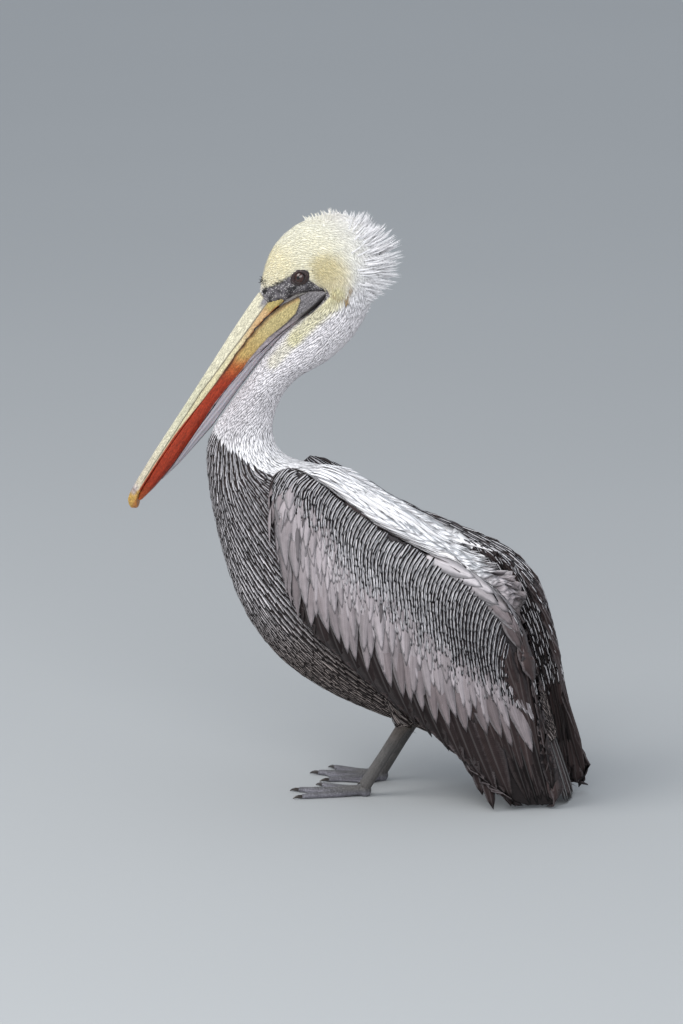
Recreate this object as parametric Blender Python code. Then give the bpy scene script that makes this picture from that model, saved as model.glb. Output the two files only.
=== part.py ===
"""A Peruvian pelican (Pelecanus thagus) at life size, standing, as a museum model.

Metres, +Z up, floor at z = 0. The bird faces -Y and its left side is +X. The tables of
stations are in millimetres in the bird's own frame; settle() then brings the middle of its
box over the origin. Neighbouring pieces keep GAP between them.
"""

import math

import bmesh
import bpy
import numpy as np

MM = 0.001
GAP = 0.3 * MM
LEANING_GAP = 0.5 * MM  # the same gap where rings lean away from the surface's normal
SIDES = {"left": 1, "right": -1}

# Body: dorsal y, z, ventral y, z and half width of each station, from the bill's base back
BODY = (
    (-203, 722, -172, 700, 15),  # 0 bill base
    (-194, 761, -161, 706, 23),  # 1 forehead
    (-179, 793, -152, 713, 28),  # 2 brow
    (-150, 821, -144, 718, 31),  # 3 fore crown
    (-112, 837, -134, 721, 33),  # 4 crown
    (-71, 840, -120, 724, 34),  # 5 hind crown
    (-36, 815, -108, 720, 34),  # 6 nape
    (-24, 772, -114, 708, 34),  # 7 hind neck
    (-34, 722, -141, 684, 33),  # 8 neck top
    (-60, 668, -168, 662, 33),
    (-102, 626, -194, 631, 33),
    (-143, 602, -219, 596.5, 33),
    (-171, 571, -244, 561.5, 35),
    (-185, 529, -273, 518.5, 38),
    (-180, 497, -281, 486, 47),
    (-156, 477, -278, 449, 62),  # 15 neck base
    (-105, 468, -269, 398, 84),
    (-45, 445, -251, 325, 93),  # 17 breast
    (15, 411, -221, 250, 95),
    (75, 369, -170, 187, 92),  # 19 belly
    (128, 324, -105, 145, 84),
    (170, 272, -38, 118, 72),  # 21 thighs
    (199, 217, 38, 95, 56),
    (224, 150, 113, 67, 42),  # 23 vent
    (240, 95, 185, 44, 32),  # 24 end of the tail coverts
)
BODY_NODES = (  # name, first and last station
    ("head", 0, 7.6),
    ("neck_upper", 7.6, 10.5),
    ("neck_middle", 10.5, 13.0),
    ("neck_lower", 13.0, 15.3),
    ("breast", 15.3, 17.6),
    ("trunk", 17.6, 20.4),
    ("rump", 20.4, 22.6),
    ("tail_coverts", 22.6, 24),
)
RING_POINTS = 20
RINGS_PER_STATION = 2.0

# Bill: a frame whose origin is where the culmen leaves the face. Along it s runs to the tip
# and d is the depth below the culmen's chord.
BILL_ROOT = (-203, 722)
BILL_TURN = math.atan2(310, 197)  # below the horizontal
BILL_UPPER = (  # s and d of the culmen, s and d of the cutting edge, half width
    (-16, 4, -16, 40, 19),
    (2, 0, 4, 35, 21),
    (30, -1.5, 34, 28.5, 20),
    (75, -2.5, 77, 24.5, 18),
    (130, -2.5, 132, 21.5, 17),
    (205, -3, 206, 15.5, 16.5),
    (285, -4, 286, 11.5, 16),
    (332, -3.5, 332, 11, 15),
    (352, -3, 352, 11, 13),
)
BILL_NAIL = (
    (352.3, -3, 352.3, 11, 12.8),
    (363, -2, 362, 13, 11),
    (372, 0, 370, 17, 8.5),
    (378, 5, 373, 18.5, 5.5),
    (381, 11, 375, 19, 3),
)
BILL_LOWER = (
    (-66, 86, -60, 96, 25),
    (-50, 64, -38, 86, 25),
    (-12, 42, 3, 68, 23),
    (30, 26, 42, 56, 21),
    (75, 21, 85, 46, 19),
    (130, 19, 136, 38, 17.5),
    (205, 15, 207, 33, 16.5),
    (285, 10.5, 287, 30, 15.5),
    (336, 10, 337, 23, 11.5),
    (364, 12, 362, 17.5, 5),
)
POUCH = (
    (-32, 62, -26, 82, 21),
    (0, 52, 8, 71, 19),
    (60, 40, 68, 56, 15),
    (130, 32, 138, 50, 13),
    (203, 28, 206, 47, 12),
    (240, 27, 240, 42, 11),
    (285, 26, 285, 35, 9),
    (318, 22, 318, 27, 6),
)
UPPER_SECTION = (  # share of the half width, share of the depth
    (0.22, 0.0), (0.46, 0.12), (0.60, 0.36), (0.62, 0.52), (0.80, 0.62), (1.0, 0.88), (0.97, 1.0), (0.4, 1.0),
)
LOWER_SECTION = ((0.5, 0.0), (0.97, 0.0), (1.0, 0.25), (0.92, 0.75), (0.66, 1.0), (0.3, 1.0))
POUCH_SECTION = ((0.5, 0.0), (1.0, 0.05), (0.85, 0.4), (0.55, 0.8), (0.25, 1.0))

# Crest: spikes that fan out from the head's back, between two body stations
CREST_RANGE = (4.9, 8.3)
CREST_SPIKES = 11
CREST_REACH, CREST_NOTCH = 40, 22
CREST_HALF_WIDTH, CREST_TIP_HALF_WIDTH = 17, 2.5

# Eyes
EYE_CENTRE = (21.3, -134.6, 750.5)
EYE_RADIUS = 10.5

# Wings: ridge x, y, z, lower edge x, y, z, of each station from the wrist to the tip
WING = (
    (68, -171, 456, 75, -170, 419),
    (79, -138, 488, 100, -141, 337),
    (83, -75, 457, 110, -105, 267),
    (85, -14, 415, 112, -52, 219),
    (85, 46, 384, 111, 8, 170),
    (83, 107, 357, 107, 67, 125),
    (79, 159, 330, 100, 118, 85),
    (73, 195, 286, 90, 156, 48),
    (66, 213, 226, 78, 184, 20),
    (58, 225, 157, 66, 206, 7),
    (50, 239, 82, 55, 226, 4),
    (45, 257, 28, 47, 245, 4),
)
WING_SWELL = (3, 14, 18, 19, 18, 17, 13, 9, 6, 3.5, 2, 1)  # how far the wing bulges past its lower edge
WING_DEPTH = (26, 44, 46, 46, 44, 40, 34, 26, 18, 12, 9, 6)  # thickness, before the body is cut away
WING_EDGE_THINNING = 0.6  # share of the thickness lost at the lower edge
WING_NODES = (  # name, stations from and to, shares of the way down from and to
    ("lesser_coverts", 0, 7.4, 0, 0.38),
    ("greater_coverts", 0, 4.8, 0.38, 1),
    ("secondaries", 4.8, 7.4, 0.38, 1),
    ("primaries", 7.4, 11, 0, 1),
)
RIGHT_WING_DROOP = math.radians(4)  # its wrist hangs a little lower than the left one,
RIGHT_WING_LIFT = 10  # and its middle stands a little higher
WING_PIVOT = (60, 300)

# Tail: a blade below the coverts, laid on the floor
TAIL = (
    (206, 142, 184, 124, 20),
    (228, 118, 206, 106, 27),
    (241, 80, 224, 70, 30),
    (254, 38, 243, 32, 33),
    (262, 12, 254, 10, 34),
    (265, -6, 258, -6, 33),
)

# Legs
LEG_X = 47
THIGH_TOP, HEEL, ANKLE = (8, 190), (27, 112), (-33, 15)
THIGH_RADII, TARSUS_RADII = (28, 15), (12.5, 9, 8.5, 9.5)
ANKLE_RADIUS = 10
TOES = (  # turn from straight ahead towards the outside, length, root radius
    (-60, 37, 5.0),
    (-24, 78, 5.6),
    (3, 97, 6.0),
    (27, 92, 5.6),
)
TOE_HEIGHT, TOE_TIP_HEIGHT = 4.6, 3.4
WEB_TOP, WEB_BOTTOM = 3.6, 1.2
WEB_REACH = (0.72, 0.84, 0.86)  # how far the web's edge reaches between two toes
CLAW_LENGTH, CLAW_RADIUS, CLAW_GAP = 13, 3.2, 0.6


# Numbers -------------------------------------------------------------------------------

def spline(rows, u):
    """The Catmull-Rom curve through the rows, u counting rows."""
    rows = np.asarray(rows, float)
    last = len(rows) - 1
    u = np.clip(np.asarray(u, float), 0, last)
    i = np.minimum(np.floor(u).astype(int), last - 1)
    t = (u - i)[..., None]
    before, start, end, after = (rows[np.clip(i + k, 0, last)] for k in (-1, 0, 1, 2))
    leaving, arriving = (end - before) / 2, (after - start) / 2
    return (
        start * (1 - 3 * t**2 + 2 * t**3)
        + end * (3 * t**2 - 2 * t**3)
        + leaving * (t - 2 * t**2 + t**3)
        + arriving * (t**3 - t**2)
    )


def yz(dorsal, ventral):
    """A station's dorsal and ventral points, in metres."""
    return np.array((0, *dorsal)) * MM, np.array((0, *ventral)) * MM


def body_ring(u, grow=0.0, shift=0.0):
    """One ring round the body: grown outwards, and shifted along the bird."""
    row = spline(BODY, u)
    dorsal, ventral = yz(row[:2], row[2:4])
    centre, up = (dorsal + ventral) / 2, (dorsal - ventral) / 2
    ahead = np.cross((1, 0, 0), up / np.linalg.norm(up))
    up *= 1 + grow / np.linalg.norm(up)
    angles = np.arange(RING_POINTS) * 2 * math.pi / RING_POINTS
    across = (row[4] * MM + grow) * np.sin(angles)
    return (
        centre
        + up * np.cos(angles)[:, None]
        + across[:, None] * np.array((1, 0, 0))
        + ahead * shift
    )


def bill_point(s, d):
    """y and z of a point of the bill's frame, in millimetres."""
    along = (-math.cos(BILL_TURN), -math.sin(BILL_TURN))
    deeper = (math.sin(BILL_TURN), -math.cos(BILL_TURN))
    return tuple(BILL_ROOT[k] + s * along[k] + d * deeper[k] for k in (0, 1))


def bill_ring(row, section, grow=0.0):
    """One ring round a piece of the bill; the section gives its right half from the top."""
    top, bottom = yz(bill_point(*row[:2]), bill_point(*row[2:4]))
    down = (bottom - top) / np.linalg.norm(bottom - top)
    top, bottom = top - down * grow, bottom + down * grow
    half_width = row[4] * MM + grow
    half = [(half_width * x, depth) for x, depth in section]
    whole = half + [(-x, depth) for x, depth in reversed(half)]
    return np.array([top + (bottom - top) * depth + np.array((x, 0, 0)) for x, depth in whole])


def wing_point(a, b, side, inwards=0.0):
    """A point of the folded wing's outer face, or that far inwards of it."""
    row = spline(WING, a)
    swell, depth = spline(np.column_stack((WING_SWELL, WING_DEPTH)), a)
    ridge, edge = row[:3], row[3:]
    out = max(ridge[0], edge[0]) + swell
    handles = []
    for share in (0.28, 0.68):
        handle = ridge + (edge - ridge) * share
        handle[0] = out
        handles.append(handle)
    point = (
        ridge * (1 - b) ** 3
        + handles[0] * 3 * b * (1 - b) ** 2
        + handles[1] * 3 * b**2 * (1 - b)
        + edge * b**3
    )
    depth *= 1 - WING_EDGE_THINNING * b**2
    point = point - inwards * depth * np.array((0.93, 0, 0.37))
    if side < 0:
        turn = RIGHT_WING_DROOP
        lift = RIGHT_WING_LIFT * math.sin(math.pi * a / (len(WING) - 1)) ** 2
        y, z = point[1] - WING_PIVOT[0], point[2] - WING_PIVOT[1] + lift
        point[1] = WING_PIVOT[0] + y * math.cos(turn) - z * math.sin(turn)
        point[2] = WING_PIVOT[1] + y * math.sin(turn) + z * math.cos(turn)
    return point * np.array((side, 1, 1)) * MM


# Blender -------------------------------------------------------------------------------

def material(name, colour, roughness, metallic=0.0):
    made = bpy.data.materials.new(name)
    made.use_nodes = True
    shader = made.node_tree.nodes["Principled BSDF"]
    shader.inputs["Base Color"].default_value = (*colour, 1)
    shader.inputs["Roughness"].default_value = roughness
    shader.inputs["Metallic"].default_value = metallic
    made.diffuse_color = (*colour, 1)
    return made


def mesh_object(name, points, faces, finish=None):
    """A closed mesh as an object, its faces turned outwards."""
    mesh = bpy.data.meshes.new(name)
    mesh.from_pydata([tuple(p) for p in points], [], [tuple(f) for f in faces])
    shell = bmesh.new()
    shell.from_mesh(mesh)
    bmesh.ops.recalc_face_normals(shell, faces=shell.faces)
    shell.to_mesh(mesh)
    shell.free()
    mesh.shade_smooth()
    mesh.set_sharp_from_angle(angle=math.radians(40))
    if finish:
        mesh.materials.append(finish)
    made = bpy.data.objects.new(name, mesh)
    bpy.context.scene.collection.objects.link(made)
    return made


def loft(name, rings, finish=None):
    """A skin over rings of equal counts, with flat ends. Its triangles follow a fixed pattern,
    so that a grown copy runs parallel to it."""
    count = len(rings[0])
    faces = [tuple(range(count)), tuple((len(rings) - 1) * count + k for k in range(count))]
    for i in range(len(rings) - 1):
        for k in range(count):
            here, after = i * count + k, i * count + (k + 1) % count
            faces += [(here, after, after + count), (here, after + count, here + count)]
    return mesh_object(name, np.concatenate(rings), faces, finish)


def tube(name, path, radii, finish=None, sides=10, grow=0.0):
    """A round tapered tube through the path's points (metres), its rings square to the path."""
    path = np.asarray(path, float)
    along = np.gradient(path, axis=0)
    along /= np.linalg.norm(along, axis=1)[:, None]
    rings = []
    for point, ahead, radius in zip(path, along, radii):
        side = np.cross(ahead, (0, 0.3, 1) if abs(ahead[2]) < 0.9 else (0, 1, 0))
        side /= np.linalg.norm(side)
        up = np.cross(side, ahead)
        turns = np.arange(sides) * 2 * math.pi / sides
        rings.append(point + (radius + grow) * (np.cos(turns)[:, None] * up + np.sin(turns)[:, None] * side))
    return loft(name, rings, finish)


def guide(cutter):
    """Mark an object as a Boolean's operand, which the build leaves out."""
    cutter.hide_render = True
    cutter.display_type = "WIRE"
    return cutter


def boolean(target, operand, operation="DIFFERENCE"):
    modifier = target.modifiers.new(f"{operation.lower()}_{operand.name}", "BOOLEAN")
    modifier.operation = operation
    modifier.solver = "EXACT"
    modifier.object = operand


def box(name, low, high):
    corners = [(x, y, z) for x in (low[0], high[0]) for y in (low[1], high[1]) for z in (low[2], high[2])]
    faces = ((0, 1, 3, 2), (4, 6, 7, 5), (0, 4, 5, 1), (2, 3, 7, 6), (0, 2, 6, 4), (1, 5, 7, 3))
    return mesh_object(name, corners, faces)


def sphere(name, centre, radius, finish=None):
    shell = bmesh.new()
    bmesh.ops.create_uvsphere(shell, u_segments=12, v_segments=8, radius=radius)
    bmesh.ops.translate(shell, verts=shell.verts, vec=centre)
    points = [v.co[:] for v in shell.verts]
    faces = [[v.index for v in f.verts] for f in shell.faces]
    shell.free()
    return mesh_object(name, points, faces, finish)


# Pieces --------------------------------------------------------------------------------

def ring_places(first, last):
    return np.linspace(first, last, max(2, round((last - first) * RINGS_PER_STATION)) + 1)


def make_body(finishes):
    pieces = {}
    for name, first, last in BODY_NODES:
        finish = finishes["white_feathers" if name.startswith(("head", "neck")) else "dark_feathers"]
        places = ring_places(first, last)
        shifts = [-GAP / 2, *[0] * (len(places) - 2), GAP / 2]
        pieces[name] = loft(name, [body_ring(u, shift=s) for u, s in zip(places, shifts)], finish)
    return pieces


def make_body_cutter():
    """The whole body grown by the gap, with rings where its nodes have theirs."""
    places = np.unique(np.concatenate([ring_places(first, last) for _, first, last in BODY_NODES]))
    return guide(loft("body_cutter", [body_ring(u, grow=LEANING_GAP) for u in places]))


def bill_loft(name, rows, section, finish=None, grow=0.0):
    return loft(name, [bill_ring(row, section, grow) for row in rows], finish)


def make_bill(finishes, body_cutter):
    upper = bill_loft("bill_upper", BILL_UPPER, UPPER_SECTION, finishes["bill"])
    bill_loft("bill_nail", BILL_NAIL, UPPER_SECTION, finishes["bill"])
    lower = bill_loft("bill_lower", BILL_LOWER, LOWER_SECTION, finishes["bill"])
    pouch = bill_loft("pouch", POUCH, POUCH_SECTION, finishes["bare_skin"])
    upper_cutter = guide(bill_loft("upper_cutter", BILL_UPPER, UPPER_SECTION, grow=GAP))
    nail_cutter = guide(bill_loft("nail_cutter", BILL_NAIL, UPPER_SECTION, grow=GAP))
    lower_cutter = guide(bill_loft("lower_cutter", BILL_LOWER, LOWER_SECTION, grow=GAP))
    for cutter in (body_cutter, upper_cutter, nail_cutter):
        boolean(lower, cutter)
        boolean(pouch, cutter)
    boolean(pouch, lower_cutter)
    boolean(upper, body_cutter)


def make_crest(finish, body_cutter):
    rings = []
    rows = 2 * CREST_SPIKES + 1
    for k, u in enumerate(np.linspace(*CREST_RANGE, rows)):
        row = spline(BODY, u)
        dorsal, ventral = yz(row[:2], row[2:4])
        out = (dorsal - ventral) / np.linalg.norm(dorsal - ventral)
        middle = math.sin(math.pi * (k + 1) / (rows + 1)) ** 0.7
        reach = (CREST_REACH if k % 2 else CREST_NOTCH) * middle * MM
        root = dorsal - out * 14 * MM
        wide, thin = CREST_HALF_WIDTH * MM, CREST_TIP_HALF_WIDTH * MM
        rings.append(np.array((
            root + (wide, 0, 0),
            dorsal + out * reach + (thin, 0, 0),
            dorsal + out * reach - (thin, 0, 0),
            root - (wide, 0, 0),
        )))
    boolean(loft("crest", rings, finish), body_cutter)


def make_eyes(finish, head):
    for name, side in SIDES.items():
        centre = np.array((side * EYE_CENTRE[0], *EYE_CENTRE[1:])) * MM
        sphere(f"eye_{name}", centre, EYE_RADIUS * MM, finish)
        boolean(head, guide(sphere(f"socket_{name}", centre, EYE_RADIUS * MM + GAP)))


def wing_slab(name, side, a_range, b_range, finish):
    """A slab of the wing between two stations and two heights, open gaps left at its inner edges."""
    a_last = len(WING) - 1
    trim_a, trim_b = 0.0045, 0.0016
    a0, a1 = a_range[0] + trim_a * (a_range[0] > 0), a_range[1] - trim_a * (a_range[1] < a_last)
    b0, b1 = b_range[0] + trim_b * (b_range[0] > 0), b_range[1] - trim_b * (b_range[1] < 1)
    columns = max(4, round((a1 - a0) * 2)) + 1
    rows = max(4, round((b1 - b0) * 11)) + 1
    points, faces = [], []
    for inwards in (0, 1):
        for a in np.linspace(a0, a1, columns):
            points += [wing_point(a, b, side, inwards) for b in np.linspace(b0, b1, rows)]
    layer = columns * rows
    for i in range(columns - 1):
        for k in range(rows - 1):
            q = (i * rows + k, i * rows + k + 1, (i + 1) * rows + k + 1, (i + 1) * rows + k)
            faces += [q, tuple(p + layer for p in reversed(q))]
    rim = (
        [i * rows for i in range(columns)]
        + [(columns - 1) * rows + k for k in range(1, rows)]
        + [i * rows + rows - 1 for i in range(columns - 2, -1, -1)]
        + list(range(rows - 2, 0, -1))
    )
    for here, after in zip(rim, rim[1:] + rim[:1]):
        faces.append((here, after, after + layer, here + layer))
    return mesh_object(name, points, faces, finish)


def make_wings(finishes, body_cutter):
    for side_name, side in SIDES.items():
        for tract, a0, a1, b0, b1 in WING_NODES:
            finish = finishes["silver_feathers" if tract == "greater_coverts" else "dark_feathers"]
            slab = wing_slab(f"wing_{side_name}_{tract}", side, (a0, a1), (b0, b1), finish)
            boolean(slab, body_cutter)


def make_tail(finish, body_cutter, floor):
    rings = []
    for u in np.linspace(0, len(TAIL) - 1, 2 * len(TAIL) - 1):
        row = spline(TAIL, u)
        top, bottom = yz(row[:2], row[2:4])
        rings.append(np.array([
            (top if upper else bottom) + (share * row[4] * MM, 0, 0)
            for upper, share in ((1, 1), (1, 0.5), (1, -0.5), (1, -1), (0, -0.96), (0, 0.96))
        ]))
    tail = loft("tail", rings, finish)
    boolean(tail, body_cutter)
    boolean(tail, floor)


def toe_tip(turn, length, side, height):
    angle = math.radians(turn)
    return np.array((
        side * (LEG_X + length * math.sin(angle)),
        ANKLE[0] - length * math.cos(angle),
        height,
    )) * MM


def make_foot(name, side, finish, tarsus_cutter, floor):
    ankle = np.array((side * LEG_X, *ANKLE)) * MM
    foot = sphere(f"foot_{name}", (ankle[0], ankle[1], ANKLE_RADIUS * 0.8 * MM), ANKLE_RADIUS * MM, finish)
    for k, (turn, length, radius) in enumerate(TOES):
        root = np.array((ankle[0], ankle[1], 9 * MM))
        knuckle = toe_tip(turn, length * 0.5, side, TOE_HEIGHT)
        tip = toe_tip(turn, length, side, TOE_TIP_HEIGHT)
        shape = tube(
            f"toe_{name}_{k + 1}", (root, knuckle, tip), (radius * 1.2 * MM, radius * MM, radius * 0.72 * MM), sides=8
        )
        boolean(foot, guide(shape), "UNION")
    boolean(foot, guide(web(f"web_{name}", side)), "UNION")
    boolean(foot, floor)
    boolean(foot, tarsus_cutter)


def web(name, side):
    """The skin between the toes, a thin plate just clear of the floor."""
    outline = [(0.0, 4.0)]
    for k, (turn, length, _) in enumerate(TOES):
        outline.append((turn, length * 0.93))
        if k < len(WEB_REACH):
            after, further, _ = TOES[k + 1]
            outline.append(((turn + after) / 2, (length + further) / 2 * WEB_REACH[k]))
    layers = [
        [toe_tip(turn, reach, side, height) for turn, reach in outline]
        for height in (WEB_BOTTOM, WEB_TOP)
    ]
    return loft(name, layers)


def make_legs(finishes, body_cutter, floor):
    for name, side in SIDES.items():
        top, heel, ankle = (np.array((side * LEG_X, *p)) * MM for p in (THIGH_TOP, HEEL, ANKLE))
        middle = (heel + ankle) / 2
        path = (heel, heel * 0.75 + middle * 0.25, middle, ankle)
        radii = [r * MM for r in TARSUS_RADII]
        tube(f"leg_{name}_tarsus", path, radii, finishes["leg_skin"])
        cutter = guide(tube(f"tarsus_cutter_{name}", (heel * 1.003 - middle * 0.003, *path[1:]), radii, grow=GAP))
        thigh = tube(
            f"leg_{name}_thigh", (top, (top + heel) / 2, heel - (0, 0, 4 * MM)),
            (THIGH_RADII[0] * MM, THIGH_RADII[0] * 0.7 * MM, THIGH_RADII[1] * MM), finishes["dark_feathers"], 12,
        )
        boolean(thigh, body_cutter)
        boolean(thigh, cutter)
        make_foot(name, side, finishes["leg_skin"], cutter, floor)
        make_claws(name, side, finishes["claw"])


def make_claws(name, side, finish):
    for k, (turn, length, _) in enumerate(TOES):
        path = [
            toe_tip(turn, length + CLAW_GAP + reach * CLAW_LENGTH, side, height)
            for reach, height in ((0, TOE_TIP_HEIGHT), (0.4, 3.7), (0.75, 3.0), (1, 1.4))
        ]
        tube(f"claw_{name}_{k + 1}", path, [CLAW_RADIUS * r * MM for r in (0.9, 0.8, 0.5, 0.2)], finish, 6)


def settle():
    """Bring the middle of the bird's box over the origin."""
    bpy.context.view_layer.update()
    depsgraph = bpy.context.evaluated_depsgraph_get()
    corners = []
    for made in bpy.data.objects:
        if not made.hide_render:
            mesh = made.evaluated_get(depsgraph).to_mesh()
            corners += [v.co[:] for v in mesh.vertices]
    low, high = np.min(corners, axis=0), np.max(corners, axis=0)
    middle = (low + high) / 2
    for made in bpy.data.objects:
        made.location = (-middle[0], -middle[1], -low[2])


def main():
    for old in list(bpy.data.objects):
        bpy.data.objects.remove(old)
    finishes = {
        "white_feathers": material("white_feathers", (0.80, 0.77, 0.68), 0.8),
        "dark_feathers": material("dark_feathers", (0.10, 0.09, 0.09), 0.75),
        "silver_feathers": material("silver_feathers", (0.52, 0.49, 0.48), 0.7),
        "bill": material("bill", (0.62, 0.36, 0.14), 0.45),
        "bare_skin": material("bare_skin", (0.36, 0.33, 0.37), 0.5),
        "leg_skin": material("leg_skin", (0.22, 0.22, 0.23), 0.6),
        "claw": material("claw", (0.03, 0.03, 0.03), 0.35),
        "eye": material("eye", (0.05, 0.025, 0.02), 0.08),
    }
    body_cutter = make_body_cutter()
    floor = guide(box("floor_cutter", (-0.3, -0.5, -0.1), (0.3, 0.5, 0)))
    pieces = make_body(finishes)
    make_bill(finishes, body_cutter)
    make_crest(finishes["white_feathers"], body_cutter)
    make_eyes(finishes["eye"], pieces["head"])
    make_wings(finishes, body_cutter)
    make_tail(finishes["dark_feathers"], body_cutter, floor)
    make_legs(finishes, body_cutter, floor)
    settle()


main()
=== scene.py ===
"""Looks of the standing Peruvian pelican: skin, plumage, bill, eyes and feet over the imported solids."""

import itertools
import math

import bpy
import numpy as np
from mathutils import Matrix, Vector
from mathutils.bvhtree import BVHTree


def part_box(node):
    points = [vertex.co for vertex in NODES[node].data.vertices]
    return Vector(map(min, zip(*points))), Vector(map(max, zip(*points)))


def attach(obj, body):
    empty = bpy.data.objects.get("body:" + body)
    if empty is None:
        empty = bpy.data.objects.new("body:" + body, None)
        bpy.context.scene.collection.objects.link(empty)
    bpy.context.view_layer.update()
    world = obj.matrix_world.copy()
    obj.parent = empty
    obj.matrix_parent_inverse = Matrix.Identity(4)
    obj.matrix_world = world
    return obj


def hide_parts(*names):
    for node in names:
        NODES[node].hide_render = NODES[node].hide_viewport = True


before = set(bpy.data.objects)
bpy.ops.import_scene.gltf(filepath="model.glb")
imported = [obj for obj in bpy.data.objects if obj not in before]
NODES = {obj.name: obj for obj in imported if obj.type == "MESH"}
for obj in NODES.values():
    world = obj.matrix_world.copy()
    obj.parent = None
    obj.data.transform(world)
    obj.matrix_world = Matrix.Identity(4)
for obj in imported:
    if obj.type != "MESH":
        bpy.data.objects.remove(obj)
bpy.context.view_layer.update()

MM = 0.001
RNG = np.random.default_rng(41)

# Nodes of flesh, from the head to the tail, and the wings' parts
BODY = ("head", "neck_upper", "neck_middle", "neck_lower", "breast", "trunk", "rump", "tail_coverts")
THIGHS = ("leg_left_thigh", "leg_right_thigh")
WING_PARTS = ("lesser_coverts", "greater_coverts", "secondaries", "primaries")
SIDES = {"left": 1, "right": -1}

# How deep the skin lies below the coat's outline, in mm
COAT_DEPTH = {"head": 1.4, "neck_upper": 2.2, "neck_middle": 2.6, "neck_lower": 3.4}
BODY_DEPTH, WING_DEPTH, BARE_DEPTH = 5.0, 3.5, 0.5

# Cell sizes of the meshes that fuse CAD nodes
SKIN_VOXEL = 2.4 * MM
GUIDE_VOXEL = 3.5 * MM
WING_GUIDE_VOXEL = 3.0 * MM
HORN_VOXEL = 0.9 * MM
LEG_VOXEL = 1.0 * MM

FACE_DEPTH, FACE_HEIGHT = 12 * MM, 745 * MM  # where the bird's axis starts, behind the head's front
OUTSIDE = 0.4  # rays towards the bird's sides start this far from its middle, in metres
SCATTER_TRIES = 4.0  # random places tried for each cell of a scatter
AROUND = list(itertools.product((-1, 0, 1), repeat=3))  # a cell's neighbours and itself
FLOOR_GAP = 3  # mm of air that loose feathers keep over the floor


def srgb(r, g, b):
    """A colour given as 0-255 display values, in the linear light that shaders use."""
    c = np.array((r, g, b), float) / 255
    return np.where(c <= 0.04045, c / 12.92, ((c + 0.055) / 1.055) ** 2.4)


WHITE = srgb(250, 248, 249)
NECK_WHITE = srgb(240, 235, 238)
CREAM = srgb(251, 247, 228)
CROWN_YELLOW = srgb(247, 236, 196)
CHEEK_YELLOW = srgb(228, 214, 168)
THROAT_YELLOW = srgb(222, 214, 160)
BREAST_DARK = srgb(44, 38, 38)
BELLY_DARK = srgb(38, 31, 30)
BREAST_STREAK = srgb(226, 222, 225)
BELLY_STREAK = srgb(168, 156, 151)
COVERT_BLACK = srgb(27, 23, 25)
COVERT_EDGE = srgb(222, 219, 222)
SILVER = srgb(174, 165, 167)
SILVER_EDGE = srgb(206, 199, 201)
SILVER_PALE = srgb(178, 169, 172)
SILVER_BROWN = srgb(124, 113, 114)
FLIGHT_DARK = srgb(29, 23, 23)
FLIGHT_EDGE = srgb(86, 76, 75)
TERTIAL_BROWN = srgb(58, 47, 46)
TERTIAL_EDGE = srgb(140, 130, 131)
BARE_GREY = srgb(92, 88, 91)
PUPIL_BLACK = srgb(7, 5, 5)
BRISTLE_BLACK = srgb(22, 18, 18)
WEB_GREY = srgb(116, 114, 121)
TOE_GREY = srgb(94, 93, 96)
# The leg's grey and the knee's brown are partly the skin's own colours, partly painted shade under the body
SHADED_LEG_GREY = srgb(90, 87, 85)
SHADED_KNEE_BROWN = srgb(84, 76, 70)


# ---------------------------------------------------------------- small tools

def unit(v):
    """Vectors at length one."""
    return v / np.maximum(np.linalg.norm(v, axis=-1, keepdims=True), 1e-12)


def smooth_step(x, low, high):
    """0 below low, 1 above high, and a smooth rise between them."""
    t = np.clip((x - low) / (high - low), 0, 1)
    return t * t * (3 - 2 * t)


def blend(a, b, share):
    """Colours a and b mixed, with share 0 giving a and 1 giving b."""
    share = np.asarray(share, float)[..., None]
    return np.asarray(a) * (1 - share) + np.asarray(b) * share


def coated(colour, *coats):
    """A colour with others laid over it in turn, each with its share."""
    for over, share in coats:
        colour = blend(colour, over, share)
    return colour


def points_of(mesh):
    """A mesh's points, a row for each."""
    co = np.zeros(len(mesh.vertices) * 3, np.float32)
    mesh.vertices.foreach_get("co", co)
    return co.reshape(-1, 3).astype(float)


def triangles_of(mesh):
    """A mesh's triangles, as the numbers of their points."""
    mesh.calc_loop_triangles()
    tris = np.zeros(len(mesh.loop_triangles) * 3, np.int32)
    mesh.loop_triangles.foreach_get("vertices", tris)
    return tris.reshape(-1, 3)


def new_object(name, data):
    """An object that is in the scene."""
    made = bpy.data.objects.new(name, data)
    bpy.context.scene.collection.objects.link(made)
    return made


def node_mesh(name):
    """Points and triangles of a CAD node."""
    mesh = NODES[name].data
    return points_of(mesh), triangles_of(mesh)


def mesh_from(name, points, corners, sizes):
    """A mesh from its points, the corners of all its faces, and how many corners each face has."""
    mesh = bpy.data.meshes.new(name)
    mesh.vertices.add(len(points))
    mesh.vertices.foreach_set("co", np.asarray(points, np.float32).ravel())
    mesh.loops.add(len(corners))
    mesh.loops.foreach_set("vertex_index", np.asarray(corners, np.int32))
    mesh.polygons.add(len(sizes))
    mesh.polygons.foreach_set("loop_start", (np.cumsum(sizes) - sizes).astype(np.int32))
    mesh.update(calc_edges=True)
    mesh.validate()
    return mesh


def corners_of(faces):
    """The corners of all faces in one row, and how many corners each face has."""
    return np.concatenate(faces), np.array([len(face) for face in faces])


def spindle_faces(rings, sides):
    """Faces of a stack of rings between a first and a last point."""
    faces = [(0, 1 + (k + 1) % sides, 1 + k) for k in range(sides)]
    for r in range(rings - 1):
        for k in range(sides):
            a, b = 1 + sides * r + k, 1 + sides * r + (k + 1) % sides
            faces.append((a, b, b + sides, a + sides))
    last = 1 + sides * (rings - 1)
    return faces + [(last + sides, last + k, last + (k + 1) % sides) for k in range(sides)]


def turned_over(faces):
    """The same faces looking the other way."""
    return [(face[0], *face[:0:-1]) for face in faces]


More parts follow.
